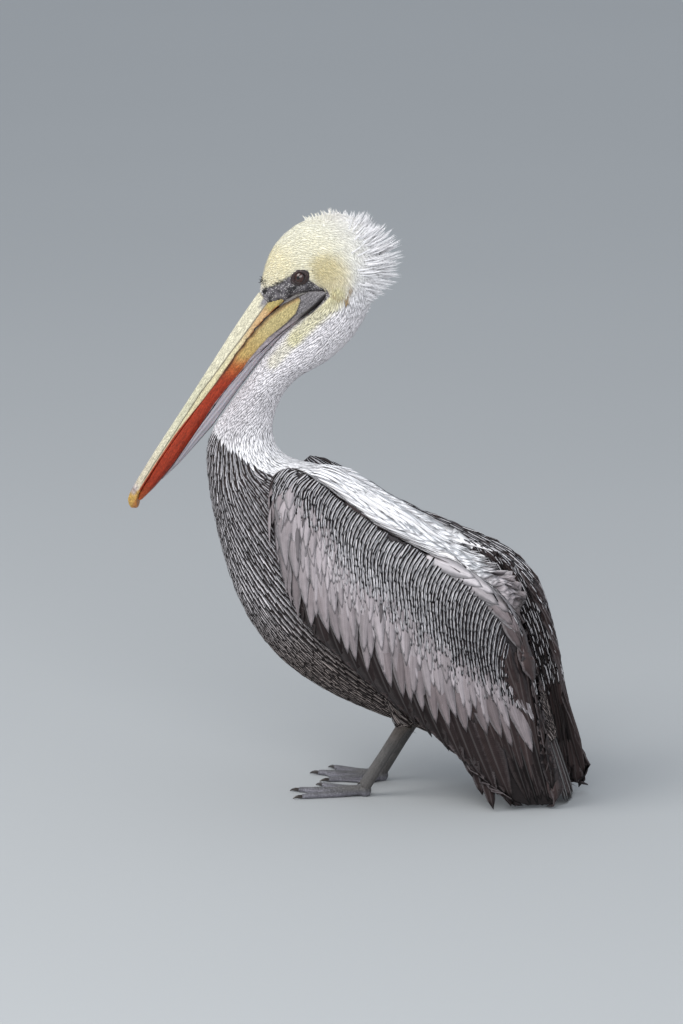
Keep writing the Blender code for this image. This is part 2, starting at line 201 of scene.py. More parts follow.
def add_piece(name, mesh, material, stands_for=()):
    """A mesh as a shown piece that rides on the bird's one body."""
    piece = new_object(name, mesh)
    mesh.materials.clear()
    mesh.materials.append(material)
    mesh.shade_smooth()
    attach(piece, "root")
    if stands_for:
        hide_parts(*stands_for)
    return piece


def set_colour(mesh, name, colours):
    """Stores one linear colour for each vertex."""
    rgba = np.ones((len(mesh.vertices), 4), np.float32)
    rgba[:, :3] = colours
    layer = mesh.color_attributes.new(name, "FLOAT_COLOR", "POINT")
    layer.data.foreach_set("color", rgba.ravel())


def set_vectors(mesh, name, vectors):
    """Stores three numbers for each vertex."""
    layer = mesh.attributes.new(name, "FLOAT_VECTOR", "POINT")
    layer.data.foreach_set("vector", np.asarray(vectors, np.float32).ravel())


def set_values(mesh, name, values):
    """Stores one number for each vertex."""
    layer = mesh.attributes.new(name, "FLOAT", "POINT")
    layer.data.foreach_set("value", np.asarray(values, np.float32))


def merged(name, node_names, voxel, rounds, swell=0.35 * MM):
    """CAD nodes fused into one closed, even mesh. They swell a little first, to close their gaps."""
    points, tris, first = [], [], 0
    for node in node_names:
        co, faces = node_mesh(node)
        welded, index = np.unique(np.round(co, 6), axis=0, return_inverse=True)
        faces = index.reshape(-1)[faces]
        faces = faces[(np.diff(np.sort(faces, axis=1), axis=1) > 0).all(axis=1)]
        points.append(welded + vertex_normals(welded, faces) * swell)
        tris.append(faces + first)
        first += len(welded)
    tris = np.concatenate(tris)
    mesh = mesh_from(name, np.concatenate(points), tris.ravel(), np.full(len(tris), 3))
    shape = new_object(name, mesh)
    remesh = shape.modifiers.new("remesh", "REMESH")
    remesh.mode = "VOXEL"
    remesh.voxel_size = voxel
    smooth = shape.modifiers.new("smooth", "SMOOTH")
    smooth.factor = 0.5
    smooth.iterations = rounds
    bpy.context.view_layer.update()
    evaluated = shape.evaluated_get(bpy.context.evaluated_depsgraph_get())
    result = bpy.data.meshes.new_from_object(evaluated)
    bpy.data.objects.remove(shape)
    bpy.data.meshes.remove(mesh)
    return result


def reshape(mesh, points):
    """Moves a mesh's points."""
    mesh.vertices.foreach_set("co", points.astype(np.float32).ravel())
    mesh.update()


def vertex_normals(points, tris):
    """Normals of points, from the triangles round them, the larger ones counting for more."""
    a, b, c = points[tris[:, 0]], points[tris[:, 1]], points[tris[:, 2]]
    face = np.cross(b - a, c - a)
    normals = np.zeros_like(points)
    for k in range(3):
        np.add.at(normals, tris[:, k], face)
    return unit(normals)


class Surface:
    """A mesh as triangles with a search tree, to lay plumage on."""

    def __init__(self, mesh):
        self.points = points_of(mesh)
        self.tris = triangles_of(mesh)
        self.normals = vertex_normals(self.points, self.tris)
        self.tree = BVHTree.FromPolygons(self.points.tolist(), self.tris.tolist())
        a, b, c = (self.points[self.tris[:, k]] for k in range(3))
        self.areas = np.linalg.norm(np.cross(b - a, c - a), axis=1) / 2

    def normals_at(self, places, faces):
        """Smooth normals at places on faces, from the faces' corners."""
        corners = self.points[self.tris[faces]]
        away = np.linalg.norm(corners - places[:, None], axis=2) + 1e-6
        weights = (1 / away) / (1 / away).sum(1, keepdims=True)
        return unit((self.normals[self.tris[faces]] * weights[..., None]).sum(1))

    def nearest(self, places):
        """The surface's nearest points, and its normals there."""
        found = [self.tree.find_nearest(p) for p in places.tolist()]
        spots = np.array([f[0] for f in found])
        return spots, self.normals_at(spots, np.array([f[2] for f in found]))

    def ray(self, origins, directions):
        """Where rays first meet the surface: distances (inf where they miss) and faces."""
        found = [self.tree.ray_cast(o, d) for o, d in zip(origins.tolist(), directions.tolist())]
        away = np.array([np.inf if f[3] is None else f[3] for f in found])
        return away, np.array([-1 if f[2] is None else f[2] for f in found])

    def scatter(self, spacing, keep):
        """Places spread over the surface about spacing apart, where keep(places, normals) says so."""
        chosen = keep(self.points[self.tris].mean(1), self.normals[self.tris].mean(1))
        weights = self.areas * chosen
        count = int(SCATTER_TRIES * weights.sum() / spacing**2)
        faces = RNG.choice(len(weights), count, p=weights / weights.sum())
        s, t = RNG.random((2, count))
        s, t = np.where(s + t > 1, (1 - s, 1 - t), (s, t))
        a, b, c = (self.points[self.tris[faces, k]] for k in range(3))
        places = a + (b - a) * s[:, None] + (c - a) * t[:, None]
        keys = np.floor(places / spacing).astype(int)
        cells, taken = {}, []
        for n, (place, (x, y, z)) in enumerate(zip(places.tolist(), keys.tolist())):
            near = (q for i, j, k in AROUND for q in cells.get((x + i, y + j, z + k), ()))
            if all(math.dist(place, q) >= spacing for q in near):
                cells.setdefault((x, y, z), []).append(place)
                taken.append(n)
        return places[taken]


# ---------------------------------------------------------------- the bird's own axes

def middle(node):
    """The centre of a CAD node's surface."""
    points, tris = node_mesh(node)
    a, b, c = (points[tris[:, k]] for k in range(3))
    areas = np.linalg.norm(np.cross(b - a, c - a), axis=1)
    return ((a + b + c) / 3 * areas[:, None]).sum(0) / areas.sum()


def joint_between(first, second):
    """The centre of the cut where one node meets the next."""
    points, _ = node_mesh(first)
    others, tris = node_mesh(second)
    tree = BVHTree.FromPolygons(others.tolist(), tris.tolist())
    near = [tree.find_nearest(p, 1.0 * MM)[0] is not None for p in points.tolist()]
    chosen = points[np.array(near)]
    return (chosen.min(0) + chosen.max(0)) / 2


def body_axis(samples=240):
    """The line through the middle of the bird from the face to the tail: points and directions."""
    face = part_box("head")[0].y + FACE_DEPTH
    knots = [np.array((0, face, FACE_HEIGHT))]
    for first, second in zip(BODY, BODY[1:]):
        knots += [middle(first), joint_between(first, second)]
    knots = np.array([*knots, middle(BODY[-1]), middle("tail")])
    knots[:, 0] = 0
    ends = np.concatenate([[2 * knots[0] - knots[1]], knots, [2 * knots[-1] - knots[-2]]])
    u = np.linspace(0, len(knots) - 1 - 1e-6, samples)
    k = u.astype(int)
    t = (u - k)[:, None]
    p0, p1, p2, p3 = ends[k], ends[k + 1], ends[k + 2], ends[k + 3]
    line = 0.5 * (2 * p1 + (p2 - p0) * t + (2 * p0 - 5 * p1 + 4 * p2 - p3) * t**2
                  + (3 * p1 - p0 - 3 * p2 + p3) * t**3)
    for _ in range(12):
        line[1:-1] = (line[:-2] + 2 * line[1:-1] + line[2:]) / 4
    return line, unit(np.gradient(line, axis=0))


AXIS, AXIS_HEADING = body_axis()


def axis_share(places):
    """How far along the bird's axis each place lies, 0 at the face to 1 at the tail."""
    away = ((places[:, None, :] - AXIS[None]) ** 2).sum(2)
    return away.argmin(1) / (len(AXIS) - 1)


def flow(places):
    """The lie of the plumage: along the bird's axis, away from the face."""
    out = np.zeros_like(places)
    for block in range(0, len(places), 4000):
        part = places[block:block + 4000]
        share = axis_share(part) * (len(AXIS) - 1)
        out[block:block + 4000] = AXIS_HEADING[share.astype(int)]
    return out


def node_finder(names):
    """A function that tells to which of some CAD nodes each place is nearest."""
    points, tris, owner, first = [], [], [], 0
    for n, name in enumerate(names):
        co, faces = node_mesh(name)
        points.append(co)
        tris.append(faces + first)
        owner.append(np.full(len(faces), n))
        first += len(co)
    owner = np.concatenate(owner)
    tree = BVHTree.FromPolygons(np.concatenate(points).tolist(), np.concatenate(tris).tolist())
    return lambda places: owner[[tree.find_nearest(p)[2] for p in places.tolist()]]


# Head landmarks, from the eye, in mm back from it and up
EYE = np.array(middle("eye_left"))


def from_eye(places):
    """Places as mm behind the eye and above it, seen from the side."""
    return (places[..., 1] - EYE[1]) / MM, (places[..., 2] - EYE[2]) / MM


BARE_FACE = (  # the naked skin round the eye, along the lores and down to the gape
    (-70, -30), (-62, -22), (-35, -11), (-15, 2), (-8, 9), (2, 12), (13, 11), (14, -3), (24, -11),
    (40, -15), (47, -23), (36, -34), (13, -54), (-13, -73), (-45, -60),
)


def inside_outline(y, z, outline):
    """Whether side-view places lie inside a closed outline, and how near its border they are."""
    corners = np.array(outline, float)
    inside = np.zeros(y.shape, bool)
    border = np.full(y.shape, 1e9)
    for (y0, z0), (y1, z1) in zip(corners, np.roll(corners, -1, axis=0)):
        crosses = (z0 > z) != (z1 > z)
        with np.errstate(divide="ignore", invalid="ignore"):
            at = y0 + (z - z0) * (y1 - y0) / (z1 - z0)
        inside ^= crosses & (y < at)
        run = (y1 - y0) ** 2 + (z1 - z0) ** 2
        t = np.clip(((y - y0) * (y1 - y0) + (z - z0) * (z1 - z0)) / run, 0, 1)
        border = np.minimum(border, np.hypot(y - y0 - t * (y1 - y0), z - z0 - t * (z1 - z0)))
    return inside, border


def bare_share(places):
    """1 on the naked skin of the face, falling to 0 just outside it."""
    y, z = from_eye(places)
    inside, border = inside_outline(y, z, BARE_FACE)
    side = smooth_step(np.abs(places[..., 0]) / MM, 9, 14)
    return np.where(inside, 0.5 + border / 3, 0.5 - border / 3).clip(0, 1) * side


def spot(y, z, centre, radii):
    """A soft oval patch in side view: 1 at its centre, 0 outside."""
    away = np.hypot((y - centre[0]) / radii[0], (z - centre[1]) / radii[1])
    return 1 - smooth_step(away, 0.35, 1.0)


def band(y, z, start, end, width):
    """A soft stripe in side view from start to end."""
    dy, dz = end[0] - start[0], end[1] - start[1]
    t = np.clip(((y - start[0]) * dy + (z - start[1]) * dz) / (dy * dy + dz * dz), 0, 1)
    away = np.hypot(y - start[0] - t * dy, z - start[1] - t * dz)
    return 1 - smooth_step(away, 0.3 * width, width)


def head_colours(places):
    """Cream to yellow on face and crown, white on the nape and the neck."""
    y, z = from_eye(places)
    return coated(
        np.broadcast_to(NECK_WHITE, places.shape),
        (WHITE, smooth_step(z, -60, 10) * smooth_step(y, 40, 75)),
        (WHITE, smooth_step(-z, 190, 260)),
        (CREAM, spot(y, z, (0, 36), (118, 92))),
        (CROWN_YELLOW, 0.75 * spot(y, z, (-48, 8), (60, 48))),
        (CROWN_YELLOW, 0.25 * spot(y, z, (10, 34), (64, 40))),
        (CHEEK_YELLOW, 0.8 * spot(y, z, (44, 4), (44, 46))),
        (CHEEK_YELLOW * (0.94, 0.92, 0.78), 0.45 * spot(y, z, (34, 16), (30, 28))),
        (THROAT_YELLOW, 0.7 * band(y, z, (58, -20), (-2, -82), 17)),
        (THROAT_YELLOW, 0.4 * band(y, z, (0, -80), (-34, -118), 15)),
        (srgb(150, 118, 66), 0.75 * band(y, z, (76, -8), (70, -26), 3.0)),
        (srgb(160, 128, 74), 0.6 * band(y, z, (70, -26), (50, -23), 3.0)),
        (srgb(196, 188, 192), 0.4 * band(y, z, (-70, -165), (-100, -220), 26)),
    )


NECK_LINE = ((-199, 529), (-112, 466))  # where the neck's white ends on the side, y and z in mm


def above_neck_line(places):
    """Height in mm over the slanting line where the white plumage meets the brown."""
    (y0, z0), (y1, z1) = NECK_LINE
    slope = (z1 - z0) / (y1 - y0)
    return places[..., 2] / MM - z0 - slope * (places[..., 1] / MM - y0)


def underparts(places):
    """Dark centres and pale streaks of breast and belly, browner and plainer lower down."""
    z = places[..., 2] / MM
    lower = 1 - smooth_step(z, 190, 330)
    return blend(BREAST_DARK, BELLY_DARK, lower), blend(BREAST_STREAK, BELLY_STREAK, lower)


def skin_colours(places, region):
    """The skin's markings, which are the coat's."""
    white = smooth_step(above_neck_line(places), -8, 4)
    coat, streak = underparts(places)
    colour = blend(coat, streak, 0.22)
    colour = blend(colour, head_colours(places), white)
    colour = blend(colour, SILVER_BROWN * 0.5, white * smooth_step(places[..., 1] / MM, 150, 200))
    wing = region >= len(BODY) + len(THIGHS)
    flight = (region - len(BODY) - len(THIGHS)) % len(WING_PARTS) >= 2
    wing_colour = np.where(flight[..., None], FLIGHT_DARK, blend(COVERT_BLACK, SILVER, 0.06))
    return np.where(wing[..., None], wing_colour, colour)


# ---------------------------------------------------------------- materials

class Shader:
    """A Principled material with short calls for the nodes that feed it."""

    def __init__(self, name, roughness=0.6, **sockets):
        self.material = bpy.data.materials.new(name)
        self.material.use_nodes = True
        self.tree = self.material.node_tree
        self.shader = self.tree.nodes["Principled BSDF"]
        self.shader.inputs["Roughness"].default_value = roughness
        for key, value in sockets.items():
            self.shader.inputs[key.replace("_", " ")].default_value = value

    def node(self, kind, **settings):
        made = self.tree.nodes.new(kind)
        for key, value in settings.items():
            setattr(made, key, value)
        return made

    def link(self, source, target):
        """Feeds a socket from another one, or gives it a number or a colour."""
        if isinstance(source, (int, float)):
            target.default_value = source
        elif isinstance(source, (tuple, list, np.ndarray)):
            target.default_value = (*[float(c) for c in source], 1.0)[:len(target.default_value)]
        else:
            self.tree.links.new(source, target)

    def attribute(self, name, output="Color"):
        return self.node("ShaderNodeAttribute", attribute_name=name).outputs[output]

    def place(self):
        return self.node("ShaderNodeTexCoord").outputs["Object"]

    def maths(self, operation, a, b=0.0):
        made = self.node("ShaderNodeMath", operation=operation)
        self.link(a, made.inputs[0])
        self.link(b, made.inputs[1])
        return made.outputs[0]

    def plus(self, a, b):
        return self.maths("ADD", a, b)

    def times(self, a, b):
        return self.maths("MULTIPLY", a, b)

    def ramp(self, value, low, high, out_low=0.0, out_high=1.0):
        """A value between low and high as one between out_low and out_high, with smooth ends."""
        made = self.node("ShaderNodeMapRange", interpolation_type="SMOOTHSTEP")
        for n, source in enumerate((value, low, high, out_low, out_high)):
            self.link(source, made.inputs[n])
        return made.outputs[0]

    def mix(self, a, b, share):
        made = self.node("ShaderNodeMix", data_type="RGBA")
        self.link(share, made.inputs[0])
        self.link(a, made.inputs[6])
        self.link(b, made.inputs[7])
        return made.outputs[2]

    def noise(self, scale, detail=3.0, vector=None, roughness=0.5):
        made = self.node("ShaderNodeTexNoise")
        made.inputs["Scale"].default_value = scale
        made.inputs["Detail"].default_value = detail
        made.inputs["Roughness"].default_value = roughness
        self.link(vector or self.place(), made.inputs["Vector"])
        return made.outputs["Fac"]

    def cells(self, scale, feature="F1", vector=None):
        made = self.node("ShaderNodeTexVoronoi", feature=feature)
        made.inputs["Scale"].default_value = scale
        self.link(vector or self.place(), made.inputs["Vector"])
        return made.outputs["Distance"]

    def split(self, vector):
        made = self.node("ShaderNodeSeparateXYZ")
        self.link(vector, made.inputs[0])
        return made.outputs

    def joined(self, *sources):
        made = self.node("ShaderNodeCombineXYZ")
        for source, target in zip(sources, made.inputs):
            self.link(source, target)
        return made.outputs[0]

    def scaled(self, vector, factors):
        made = self.node("ShaderNodeMapping")
        self.link(vector, made.inputs["Vector"])
        made.inputs["Scale"].default_value = factors
        return made.outputs[0]

    def shade(self, colour, value, low, high):
        """The colour made darker or lighter by a pattern that runs from 0 to 1."""
        made = self.node("ShaderNodeVectorMath", operation="SCALE")
        self.link(colour, made.inputs[0])
        self.link(self.ramp(value, 0.25, 0.75, low, high), made.inputs["Scale"])
        return made.outputs[0]

    def colour(self, source):
        self.link(source, self.shader.inputs["Base Color"])

    def bump(self, height, distance, strength=1.0):
        made = self.node("ShaderNodeBump")
        made.inputs["Distance"].default_value = distance
        made.inputs["Strength"].default_value = strength
        self.link(height, made.inputs["Height"])
        self.link(made.outputs[0], self.shader.inputs["Normal"])


def feather_material(name, edges, shaft=0.0, barbs=40.0, roughness=0.75, uneven=0.08, outline=0.0,
                     sheen=0.12):
    """Vanes: a centre colour and a fringe colour from the mesh, barbs, a shaft, and a little unevenness.

    edges are the shares of the half width where the fringe begins and where it is full. A shaft below 0
    is dark, one above 0 pale, and outline is how dark the painted shade along the vane's own edge is.
    """
    s = Shader(name, roughness, Sheen_Weight=sheen, Sheen_Roughness=0.5, Specular_IOR_Level=0.1 + sheen)
    across, along, chance = s.split(s.attribute("Vane", "Vector"))
    off_shaft = s.maths("ABSOLUTE", across)
    wobble = s.times(s.maths("SUBTRACT", s.noise(260.0, 2.0), 0.5), 0.35)
    reach = s.plus(s.plus(off_shaft, wobble), s.attribute("Spread", "Fac"))
    colour = s.mix(s.attribute("Coat"), s.attribute("Fringe"), s.ramp(reach, *edges))
    slant = s.plus(s.times(along, barbs), s.times(off_shaft, -3.0))
    barb = s.plus(s.times(s.maths("SINE", s.times(slant, 2 * math.pi)), 0.5), 0.5)
    strands = s.joined(s.times(across, 5.0), s.times(along, 1.6), s.times(chance, 60.0))
    colour = s.shade(colour, barb, 1 - uneven, 1 + 0.5 * uneven)
    colour = s.shade(colour, chance, 1 - 1.2 * uneven, 1 + uneven)
    colour = s.shade(colour, s.noise(90.0), 1 - uneven, 1 + uneven)
    colour = s.shade(colour, s.noise(1.0, 3.0, strands), 1 - 1.6 * uneven, 1 + 1.2 * uneven)
    if shaft:
        tone = (0.02, 0.018, 0.018) if shaft < 0 else (0.75, 0.73, 0.72)
        colour = s.mix(colour, tone, s.times(s.ramp(off_shaft, 0.03, 0.12, 1.0, 0.0), abs(shaft)))
    # Painted shade: the vane's own edge is darkened, standing in for the shadow of the feathers beside it
    if outline:
        colour = s.mix(colour, (0.06, 0.052, 0.055), s.ramp(off_shaft, 0.84, 0.97, 0.0, outline))
    s.colour(colour)
    s.bump(barb, 0.3 * MM, 0.4)
    return s.material


def skin_material():
    """Feathered skin takes the coat's colours; the naked face is dark, wrinkled and speckled."""
    s = Shader("skin", 0.7, Specular_IOR_Level=0.3)
    bare = s.attribute("Bare", "Fac")
    coat = s.shade(s.attribute("Coat"), s.noise(220.0, 4.0), 0.82, 1.1)
    specks = s.ramp(s.cells(400.0), 0.22, 0.44, 1.0, 0.0)
    patches = s.noise(95.0)
    grey = s.mix(BARE_GREY * 0.3, BARE_GREY * 1.6, s.ramp(patches, 0.3, 0.7))
    grey = s.mix(grey, srgb(190, 186, 184), s.times(specks, s.ramp(patches, 0.3, 0.5)))
    s.colour(s.mix(coat, grey, bare))
    s.link(s.ramp(bare, 0.0, 1.0, 0.8, 0.5), s.shader.inputs["Roughness"])
    s.bump(s.plus(s.times(specks, 0.6), s.noise(240.0, 4.0)), 0.8 * MM, 0.7)
    return s.material


# ---------------------------------------------------------------- skin

FLESH = (*BODY, *THIGHS, *(f"wing_{side}_{part}" for side in SIDES for part in WING_PARTS))
FLESH_FINDER = node_finder(FLESH)


def neighbours(mesh):
    """Pairs of vertices that an edge joins."""
    edges = np.zeros(len(mesh.edges) * 2, np.int32)
    mesh.edges.foreach_get("vertices", edges)
    return edges.reshape(-1, 2)


def averaged(values, edges, rounds):
    """Values of vertices, evened out along the edges."""
    count = np.bincount(edges.ravel(), minlength=len(values)) + 1.0
    for _ in range(rounds):
        total = values.copy()
        np.add.at(total, edges[:, 0], values[edges[:, 1]])
        np.add.at(total, edges[:, 1], values[edges[:, 0]])
        values = total / (count if values.ndim == 1 else count[:, None])
    return values


def make_skin():
    """One skin under the whole coat: the fused flesh, drawn in by the coat's depth."""
    mesh = merged("skin", FLESH, SKIN_VOXEL, 4)
    surface = Surface(mesh)
    points = surface.points
    region = FLESH_FINDER(points)
    depths = [COAT_DEPTH.get(n, WING_DEPTH if n.startswith("wing") else BODY_DEPTH) for n in FLESH]
    bare = bare_share(points) * (region == 0)
    depth = (np.array(depths)[region] * (1 - bare) + BARE_DEPTH * bare) * MM
    inwards = -surface.normals
    thickness, _ = surface.ray(points + inwards * 0.2 * MM, inwards)
    depth = np.minimum(depth, 0.36 * np.minimum(thickness, 1.0))
    edges = neighbours(mesh)
    depth = averaged(depth, edges, 6)
    points = averaged(points + inwards * depth[:, None], edges, 2)
    reshape(mesh, points)
    set_colour(mesh, "Coat", skin_colours(points, region))
    set_values(mesh, "Bare", bare)
    piece = add_piece("skin", mesh, skin_material(), FLESH)
    unwrap(piece)
    return piece


def unwrap(piece):
    """Gives the skin its own unwrap, whose places the coat's patches share."""
    piece.data.uv_layers.new(name="OFBake")
    bpy.context.view_layer.objects.active = piece
    piece.select_set(True)
    bpy.ops.object.mode_set(mode="EDIT")
    bpy.ops.mesh.select_all(action="SELECT")
    bpy.ops.uv.smart_project(angle_limit=math.radians(72), island_margin=0.002)
    bpy.ops.object.mode_set(mode="OBJECT")
    piece.select_set(False)


SKIN = make_skin()
SKIN_SURFACE = Surface(SKIN.data)


def skin_chart():
    """Where the middle of each of the skin's triangles lies on its unwrap."""
    mesh = SKIN.data
    uv = np.zeros(len(mesh.loops) * 2, np.float32)
    mesh.uv_layers["OFBake"].data.foreach_get("uv", uv)
    uv = uv.reshape(-1, 2)
    loops = np.zeros(len(mesh.loop_triangles) * 3, np.int32)
    mesh.loop_triangles.foreach_get("loops", loops)
    return uv[loops.reshape(-1, 3)].mean(1)


SKIN_CHART = skin_chart()
PATCH = 0.003  # side of a vane's patch on the unwrap
PATCH_SEARCH = 40  # how many patches away a free one is looked for


def patches_at(roots):
    """A free patch of the unwrap for each root, at the root's place or the nearest free one."""
    faces = [SKIN_SURFACE.tree.find_nearest(p)[2] for p in roots.tolist()]
    wanted = np.floor(SKIN_CHART[faces] / PATCH).astype(int)
    limit = int(1 / PATCH)
    around = itertools.product(range(-PATCH_SEARCH, PATCH_SEARCH + 1), repeat=2)
    spiral = sorted(around, key=lambda cell: cell[0] ** 2 + cell[1] ** 2)
    taken, out = set(), []
    for x, y in wanted.tolist():
        for i, j in spiral:
            cell = (x + i, y + j)
            if cell not in taken and 0 <= cell[0] < limit and 0 <= cell[1] < limit:
                break
        taken.add(cell)
        out.append(cell)
    return (np.array(out) + 0.5) * PATCH


# ---------------------------------------------------------------- vanes

ROOT_WIDTH = 0.35  # a vane's width at its root, as a share of its greatest
LEAVING = 0.55  # a spine goes straight on where the surface is further away than this share of a step,
LEAVING_COSINE = 0.35  # or turns by more than this cosine allows
HELD_COURSE = 0.35  # share of its own direction that a spine keeps at each step


def vane_shape(along, broad, point):
    """Half width along a vane: narrow at the root, broadest at share broad, and pointed by its power."""
    rise = ROOT_WIDTH + (1 - ROOT_WIDTH) * np.sin(np.clip(along / broad, 0, 1) * math.pi / 2)
    fall = np.clip((1 - along) / (1 - broad), 0, 1) ** point
    return np.where(along < broad, rise, fall)


def vanes(name, spines, ups, halves, coat, fringe, material, slot, stands_for=(),
          broad=0.45, point=0.8, camber=0.16, thick=0.25 * MM, spread=0.0):
    """Closed flat vanes as one mesh. A spine is a row of points, with the way up at each.

    A vane is halves wide on each side at the share broad of its length. coat and fringe give one colour,
    one for each vane, or one for each point of each spine, and spread how much further in the fringe
    reaches than the material's own.
    """
    count, steps = spines.shape[:2]
    share = np.linspace(0, 1, steps)
    tangents = unit(np.gradient(spines, axis=1))
    across = unit(np.cross(tangents, ups))
    up = unit(np.cross(across, tangents))[:, 1:-1]
    w = (halves[:, None] * vane_shape(share, broad, point))[:, 1:-1, None]
    core, across = spines[:, 1:-1], across[:, 1:-1]
    top = core + up * (camber * w + thick)
    under = core + up * (camber * w * 0.6 - thick)
    rings = np.stack([core - across * w, top, core + across * w, under], axis=2)
    body = rings.reshape(count, -1, 3)
    points = np.concatenate([spines[:, :1], body, spines[:, -1:]], axis=1)
    per = points.shape[1]
    corners, sizes = corners_of(spindle_faces(steps - 2, 4))
    corners = (np.arange(count)[:, None] * per + corners).ravel()
    mesh = mesh_from(name, points.reshape(-1, 3), corners, np.tile(sizes, count))

    step_of = np.concatenate([[0], np.repeat(np.arange(1, steps - 1), 4), [steps - 1]])
    side = np.concatenate([[0], np.tile([-1, 0, 1, 0], steps - 2), [0]])
    along = share[step_of]
    chance = RNG.random(count)
    set_vectors(mesh, "Vane", np.column_stack(
        [np.tile(side, count), np.tile(along, count), np.repeat(chance, per)]))
    for label, colours in (("Coat", coat), ("Fringe", fringe)):
        colours = np.asarray(colours, float)
        if colours.ndim == 2:
            colours = colours[:, None]
        set_colour(mesh, label, np.broadcast_to(colours, (count, steps, 3))[:, step_of].reshape(-1, 3))
    set_values(mesh, "Spread", np.repeat(np.broadcast_to(spread, count), per))

    reach = 0.46 * PATCH
    flat = np.stack([side * reach, (along - 0.5) * 2 * reach], axis=1)
    uv = (patches_at(spines[:, 0])[:, None] + flat).reshape(-1, 2)[corners]
    layer = mesh.uv_layers.new(name="OFBake")
    layer.data.foreach_set("uv", uv.astype(np.float32).ravel())
    return add_piece(name, mesh, material, stands_for)


def lay(surface, roots, heading, lengths, steps, sunk, proud, stray, lifts=0.0):
    """Spines that follow the surface from their roots along the lie, rising from sunk to proud.

    heading(places, normals) gives the lie, stray how far spines depart from it, and lifts how much higher
    each tip stands. Where the surface turns away sharply, a spine goes straight on.
    """
    count = len(roots)
    share = np.linspace(0, 1, steps)
    track = np.zeros((count, steps, 3))
    ups = np.zeros((count, steps, 3))
    track[:, 0], ups[:, 0] = surface.nearest(roots)
    way = heading(track[:, 0], ups[:, 0]) + RNG.normal(0, stray, (count, 3))
    turn = unit(RNG.normal(0, 1, (count, 3))) * stray * 0.6
    way = unit(flattened(way, ups[:, 0]))
    for k in range(1, steps):
        step = lengths * (share[k] - share[k - 1])
        ahead = track[:, k - 1] + way * step[:, None]
        spots, found = surface.nearest(ahead)
        off = np.linalg.norm(spots - ahead, axis=1)
        free = ((off > LEAVING * step) | ((found * ups[:, k - 1]).sum(1) < LEAVING_COSINE))[:, None]
        track[:, k] = np.where(free, ahead, spots)
        ups[:, k] = np.where(free, ups[:, k - 1], found)
        aim = np.where(free, way, heading(track[:, k], ups[:, k]) + turn)
        way = unit(HELD_COURSE * way + (1 - HELD_COURSE) * unit(aim))
        way = unit(flattened(way, ups[:, k]))
    height = -sunk + (proud + sunk) * share**0.7 + np.reshape(lifts, (-1, 1)) * share**2
    return track + ups * height[..., None], ups


def flattened(directions, normals):
    """Directions without their part along the normals."""
    return directions - (directions * normals).sum(1, keepdims=True) * normals


def axis_heading(places, normals):
    """The lie of the body's plumage, as lay and dress ask for it."""
    return flow(places)


# Guides: the outlines of body and wings, smoothed, on which the plumage lies
BODY_GUIDE = Surface(merged("body_guide", (*BODY, *THIGHS), GUIDE_VOXEL, 8))
OUTER_GUIDE = Surface(merged("outer_guide", FLESH, GUIDE_VOXEL, 8))
BODY_FINDER = node_finder((*BODY, *THIGHS))


def varied(count, mean, spread):
    """A size for each feather, about the mean."""
    return mean * (1 + RNG.uniform(-spread, spread, count))


def dress(name, guide, keep, colours, material, slot, spacing, length, half_width, steps, sunk, proud, stray,
          lift, heading=axis_heading, **shape):
    """A tract of like feathers scattered over a guide. shape holds what vanes is told of their form."""
    roots = guide.scatter(spacing, keep)
    sizes = length(roots) if callable(length) else varied(len(roots), length, 0.15)
    halves = half_width(roots) if callable(half_width) else varied(len(roots), half_width, 0.15)
    lifts = np.abs(RNG.normal(0, 1, len(roots))) * lift
    spines, ups = lay(guide, roots, heading, sizes, steps, sunk, proud, stray, lifts)
    clear = spines[..., 2].min(axis=1) > FLOOR_GAP * MM
    roots, spines, ups, halves = (part[clear] for part in (roots, spines, ups, halves))
    return vanes(name, spines, ups, halves, *colours(roots), material, slot, **shape)


def make_head_plumage():
    """Short velvet of the head and the neck, smallest on the face."""
    down = feather_material("down", (0.55, 1.0), barbs=12, roughness=0.85, uneven=0.05)

    def colours(roots):
        coat = head_colours(roots)
        return coat, blend(coat, WHITE, 0.25)

    def on_head(places, normals):
        return (BODY_FINDER(places) == 0) & (bare_share(places) < 0.35)

    def on_neck(first, last):
        def keep(places, normals):
            region = BODY_FINDER(places)
            return (region >= first) & (region <= last) & (above_neck_line(places) > -2)
        return keep

    def face_length(roots):
        y, z = from_eye(roots)
        grown = smooth_step(y, 30, 90) + smooth_step(z, 40, 80) * 0.7
        return varied(len(roots), (7.0 + 4 * grown) * MM, 0.2)

    look = (colours, down, "white_feathers")
    dress("plumage_head", BODY_GUIDE, on_head, *look, spacing=2.0 * MM, length=face_length,
          half_width=0.85 * MM, steps=4, sunk=0.6 * MM, proud=0.14 * MM, stray=0.08, lift=0.06 * MM,
          camber=0.03, thick=0.07 * MM)
    dress("plumage_neck", BODY_GUIDE, on_neck(1, 2), *look, spacing=2.7 * MM, length=15 * MM,
          half_width=2.1 * MM, steps=4, sunk=0.7 * MM, proud=0.1 * MM, stray=0.05, lift=0.03 * MM,
          camber=0.015, thick=0.06 * MM)
    dress("plumage_neck_base", BODY_GUIDE, on_neck(3, 5), *look, spacing=3.6 * MM, length=19 * MM,
          half_width=2.4 * MM, steps=5, sunk=1.1 * MM, proud=0.15 * MM, stray=0.05, lift=0.05 * MM,
          camber=0.015, thick=0.08 * MM)


